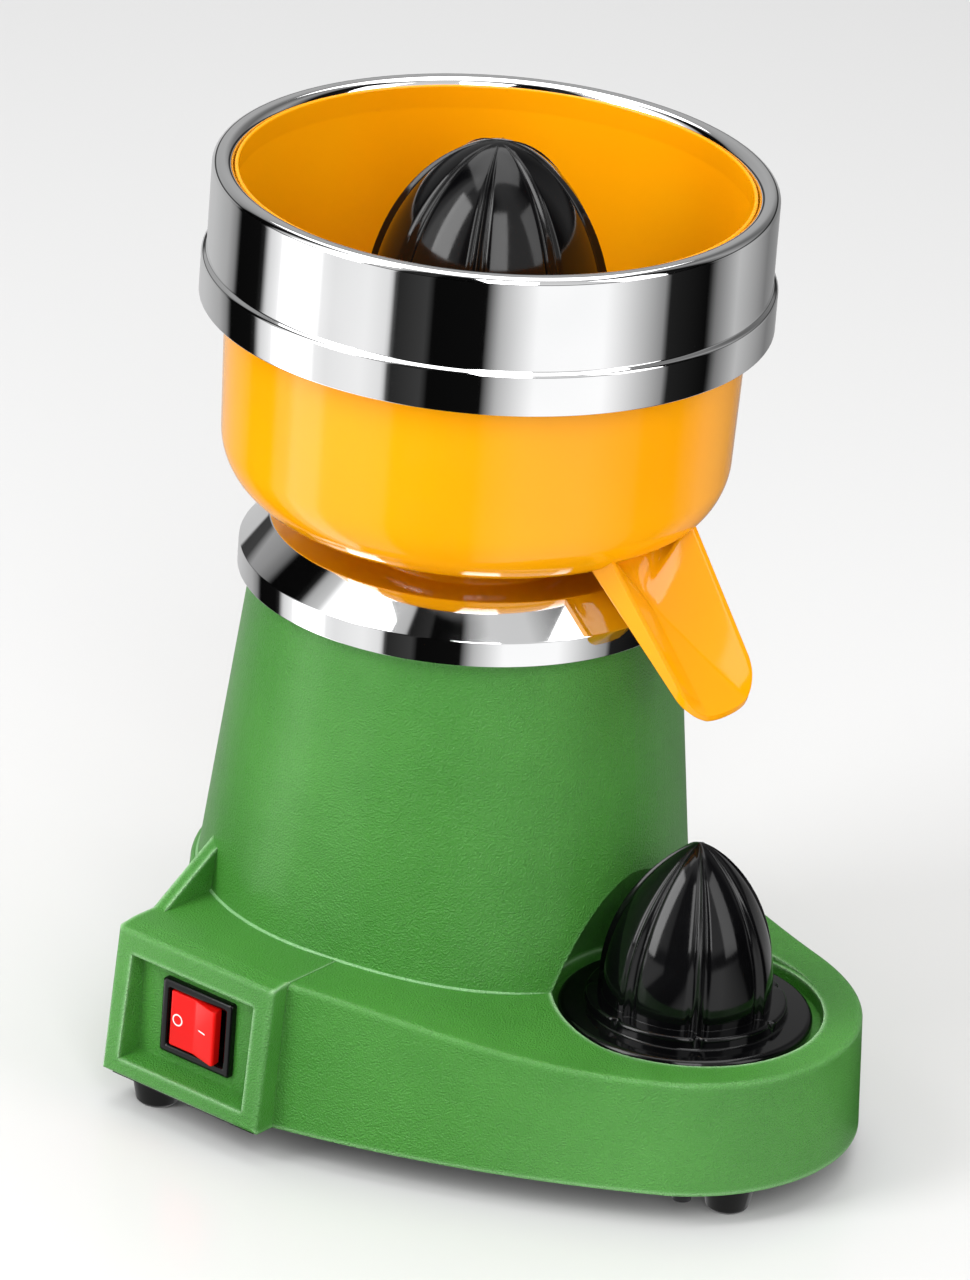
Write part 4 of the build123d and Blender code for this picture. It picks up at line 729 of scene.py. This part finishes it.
def spout():
    """Trough along +x made of an upper and an under surface over the same outline. Lines of even
    share across run from the root under the bowl to the outline's end, which lies
    end_round * (1 - (1 - share^p)^(1/p)) short of the tip. The upper surface lies on the sloped
    floor, which bends up to the bowl as a square law at the root and widens from a V to a flat, and
    climbs evenly from the floor's edge to a flat lip, with hyperbolas easing both bends. The wall
    stays inside the bowl's rounded corner and sinks to the floor at the end as a quarter ellipse.
    The under surface lies a floor's thickness lower and rises to the walls' low edges; a bevel
    rounds all edges."""
    rows, columns = 64, 81
    root, tip, end_round, end_power = 70.0, 118.3, 9.0, 2.4
    # The half width and the levels are those at the datum's x, each followed by its slope
    datum = 74.0
    half_at, half_slope = 24.4, 5.0 / 42.0
    floor_at, floor_slope = 202.2, 0.743
    wall_at, wall_slope = 227.0, 1.27
    low_at, low_slope = 213.0, 0.997
    bend_height, bend_length = 7.4, 9.0
    flat_start, flat_slope, least_flat = 80.7, 0.29, 0.6
    corner_reach, corner_level, corner_radius, wall_side = 64.5, 235.0, 21.2, 23.0
    sink_length, least_wall = 9.2, 1.2
    lip, ease, floor_thick, low_drop = 1.7, 0.03, 2.0, 0.6
    end_inset, side_inset = 0.4, 0.985

    way = np.linspace(0, 1, rows)[:, None]
    share = np.sin(np.linspace(-1, 1, columns) * math.pi / 2)[None, :]
    end = tip - end_round * (1 - (1 - np.abs(share) ** end_power) ** (1 / end_power))
    reach = root + (end - root) * way
    along = reach - datum
    bend = np.clip(1 - (reach - root) / bend_length, 0, 1)
    floor_level = floor_at - floor_slope * along + bend_height * bend**2
    out = np.minimum(np.hypot(reach, wall_side) - corner_reach, corner_radius - 0.3)
    under_bowl = corner_level - np.sqrt(corner_radius**2 - out**2)
    wall_top = np.minimum(wall_at - wall_slope * along, under_bowl)
    sink = np.clip((reach - tip + end_round) / sink_length, 0, 1)
    tall = np.maximum(wall_top - floor_level, least_wall) * (1 - sink**2) ** 0.5

    half = half_at - half_slope * along
    across = half * share
    flat = np.maximum(flat_slope * (reach - flat_start), least_flat)
    climb = (np.abs(across) - flat) / (half - lip - flat)
    height = (np.hypot(climb, ease) - np.hypot(climb - 1, ease) + 1) / 2
    upper = np.stack([reach, across, floor_level + tall * height], axis=-1)
    keel = floor_level - floor_thick
    low_edge = low_at - low_slope * along - low_drop
    bottom = keel + np.clip(low_edge - keel, 0, tall) * np.clip(height, 0, 1)
    under = np.stack([reach - end_inset * way, across * side_inset, bottom], axis=-1)

    points = np.concatenate([upper, under[:, ::-1]], axis=1)
    last = (rows - 1) * 2 * columns
    step = np.arange(columns - 1)
    strip = np.stack([step, step + 1, 2 * columns - 2 - step, 2 * columns - 1 - step], axis=-1)
    faces = np.concatenate([cells(rows, 2 * columns), strip, strip + last])
    made = piece("bowl_spout", points, faces, "bowl", "orange_plastic", sharp=180.0)
    edge = made.modifiers.new("rounded_edges", "BEVEL")
    edge.width = 0.7 * MM
    edge.segments = 3
    edge.limit_method = "ANGLE"
    edge.angle_limit = math.radians(50)
    edge.harden_normals = True


def column_bead():
    """Thin bead along the line where the column meets the base, from one side of the scoop round to
    the other. At each angle the line's height is the deck's, which falls in an S along x, and its
    radius is the tapered column's at that height; a few turns of putting one into the other settle
    both. A round section follows the line and thins to nothing at both ends."""
    count, sides, settling, thinning = 620, 12, 6, 30.0
    first_angle, last_angle, thickness = 26.0, 334.0, 0.75
    deck, deck_fall, fall_start, fall_length = 67.0, 13.0, 8.0, 132.0
    column_radius, column_level, column_draw, column_height = 88.5, 60.0, 13.0, 121.0

    def radius_at(level):
        """Column's radius: it draws in evenly over its height."""
        return column_radius - column_draw * (level - column_level) / column_height

    angle = np.radians(np.linspace(first_angle, last_angle, count))
    level = np.full_like(angle, deck)
    for _ in range(settling):
        fall = np.clip((radius_at(level) * np.cos(angle) - fall_start) / fall_length, 0, 1)
        level = deck - deck_fall * fall**2 * (3 - 2 * fall)
    outward = np.stack([np.cos(angle), np.sin(angle), 0 * angle], axis=-1)
    line = radius_at(level)[:, None] * outward
    line[:, 2] = level
    from_end = np.minimum(np.arange(count), np.arange(count)[::-1]) / thinning
    thick = thickness * np.sqrt(np.clip(from_end, 0, 1))[:, None]
    turn = np.linspace(0, 2 * math.pi, sides, endpoint=False)
    points = line[:, None] + (thick * np.cos(turn))[..., None] * outward[:, None]
    points[..., 2] += thick * np.sin(turn)
    faces = cells(*points.shape[:2])
    # The bead wears the paler enamel: a painted highlight along the column's foot
    piece("column_bead", points, faces, "base", "green_paint", sharp=60.0, finish="painted_highlight_enamel")


def rounded_frame(half_wide, half_tall, corner, steps=12):
    """Closed rounded rectangles in a plane, one for each set of half sizes and corner radius: at each
    corner a quarter circle about the point that lies one corner radius inside both sides."""
    turn = np.linspace(0, math.pi / 2, steps)
    quarter = np.concatenate([turn + side * math.pi / 2 for side in range(4)])[None, :]
    sign_wide = np.repeat([1, -1, -1, 1], steps)[None, :]
    sign_tall = np.repeat([1, 1, -1, -1], steps)[None, :]
    wide = sign_wide * (half_wide - corner) + corner * np.cos(quarter)
    tall = sign_tall * (half_tall - corner) + corner * np.sin(quarter)
    return wide, tall


def end_caps(points):
    """Corner numbers of the two faces that close a grid's first and last row."""
    rows, count = points.shape[:2]
    return [np.arange(count), (rows - 1) * count + np.arange(count)]


def switch_frame():
    """Black frame of the switch with its body behind the panel: rounded rectangles carried along a
    profile of half width, half height, corner radius and distance in front of the panel."""
    body_wide, body_tall, body_depth = 14.0, 12.2, 20.0
    frame_wide, frame_tall, front = 16.0, 14.25, 2.6
    window_wide, window_tall, window_depth = 13.0, 11.0, 8.8
    profile = np.array([
        (body_wide, body_tall, 1.0, -body_depth),
        (body_wide, body_tall, 1.0, 0.0),
        (frame_wide, frame_tall, 1.2, 0.0),
        (frame_wide, frame_tall, 1.2, front - 0.9),
        (frame_wide - 0.12, frame_tall - 0.12, 1.2, front - 0.5),
        (frame_wide - 0.4, frame_tall - 0.4, 1.1, front - 0.15),
        (frame_wide - 0.8, frame_tall - 0.8, 1.0, front),
        (window_wide + 0.9, window_tall + 1.0, 0.8, front),
        (window_wide + 0.5, window_tall + 0.55, 0.7, front - 0.05),
        (window_wide + 0.2, window_tall + 0.25, 0.6, front - 0.3),
        (window_wide + 0.05, window_tall + 0.05, 0.5, front - 0.7),
        (window_wide, window_tall, 0.5, -window_depth),
    ])
    wide, tall = rounded_frame(profile[:, 0:1], profile[:, 1:2], profile[:, 2:3])
    depth = np.broadcast_to(PANEL - profile[:, 3:4], wide.shape)
    points = np.stack([SWITCH[0] + wide, depth, SWITCH[1] + tall], axis=-1)
    piece(
        "switch_frame", points, cells(*wide.shape), "base", "black_plastic", ("switch_housing",),
        sharp=35.0, caps=end_caps(points),
    )


def on_rocker(across, outward, upward):
    """Points given along, out of and up the rocker, turned to its rest about the pivot."""
    turned_x = across * math.cos(ROCKER_REST) + outward * math.sin(ROCKER_REST)
    turned_y = across * math.sin(ROCKER_REST) - outward * math.cos(ROCKER_REST)
    return np.stack([SWITCH[0] + turned_x, ROCKER_PIVOT + turned_y, SWITCH[1] + upward], axis=-1)


def rocker():
    """Red rocker: its side outline, a shallow V in front, carried up its height and drawn in by a
    quarter round at both ends; on the wings a flat ring and a short bar, each a rounded strip along
    a line."""
    wing, rise, face, half_tall = 11.75, 1.547, 4.6, 10.5
    edge, outline_size = 0.6, 10.0
    outline = rounded([
        (-wing, face + rise, 0.9),
        (0.0, face, 6.0),
        (wing, face + rise, 0.9),
        (wing - 1.5, face - 3.0, 0.5),
        (4.0, -4.0, 0.6),
        (-4.0, -4.0, 0.6),
        (-wing + 1.5, face - 3.0, 0.5),
    ], 10)
    bend = np.linspace(0, math.pi / 2, 8)
    low = -half_tall + edge * (1 - np.cos(bend))
    inset = edge * (1 - np.sin(bend))
    upward = np.concatenate([low, -low[::-1]])[:, None]
    shrink = 1 - np.concatenate([inset, inset[::-1]])[:, None] / outline_size
    across, outward = shrink * outline[None, :, 0], shrink * outline[None, :, 1]
    points = on_rocker(across, outward, np.broadcast_to(upward, across.shape))
    faces = cells(*points.shape[:2])
    piece("rocker_cap", points, faces, "rocker", "red_plastic", ("rocker",), caps=end_caps(points))

    stroke, print_lift, print_rise = 0.28, 0.02, 0.06
    strip = np.linspace(0, 2 * math.pi, 12, endpoint=False)[None, :]
    ring_place, ring_radius = -7.6, 2.0
    lean = math.atan2(rise, wing)
    turn = np.linspace(0, 2 * math.pi, 72, endpoint=False)[:, None]
    reach = ring_radius + stroke * np.cos(strip)
    across = ring_place + reach * np.cos(turn) * math.cos(lean)
    outward = face + rise * np.abs(across) / wing + print_lift + print_rise * np.sin(strip)
    points = on_rocker(across, outward, reach * np.sin(turn))
    faces = cells(*points.shape[:2], loop=True)
    piece("rocker_ring_mark", points, faces, "rocker", "grey_plastic", finish="white_print")

    bar_place, half_bar, bar_power = 4.6, 2.0, 8
    along = np.linspace(-half_bar, half_bar, 24)[:, None]
    swell = np.sqrt(np.clip(1 - (along / (half_bar + 0.01)) ** bar_power, 0, 1))
    across = np.broadcast_to(bar_place + along, (along.size, strip.size))
    outward = face + rise * across / wing + print_lift + print_rise * np.sin(strip) * swell
    points = on_rocker(across, outward, stroke * np.cos(strip) * swell)
    piece(
        "rocker_bar_mark", points, cells(*points.shape[:2]), "rocker", "grey_plastic",
        caps=end_caps(points), finish="white_print",
    )


bpy.context.scene.view_settings.view_transform = "Standard"
add_camera()
add_studio()
juice_bowl()
spout()
splash_ring()
collar()
large_reamer()
small_reamer()
column_bead()
switch_frame()
rocker()
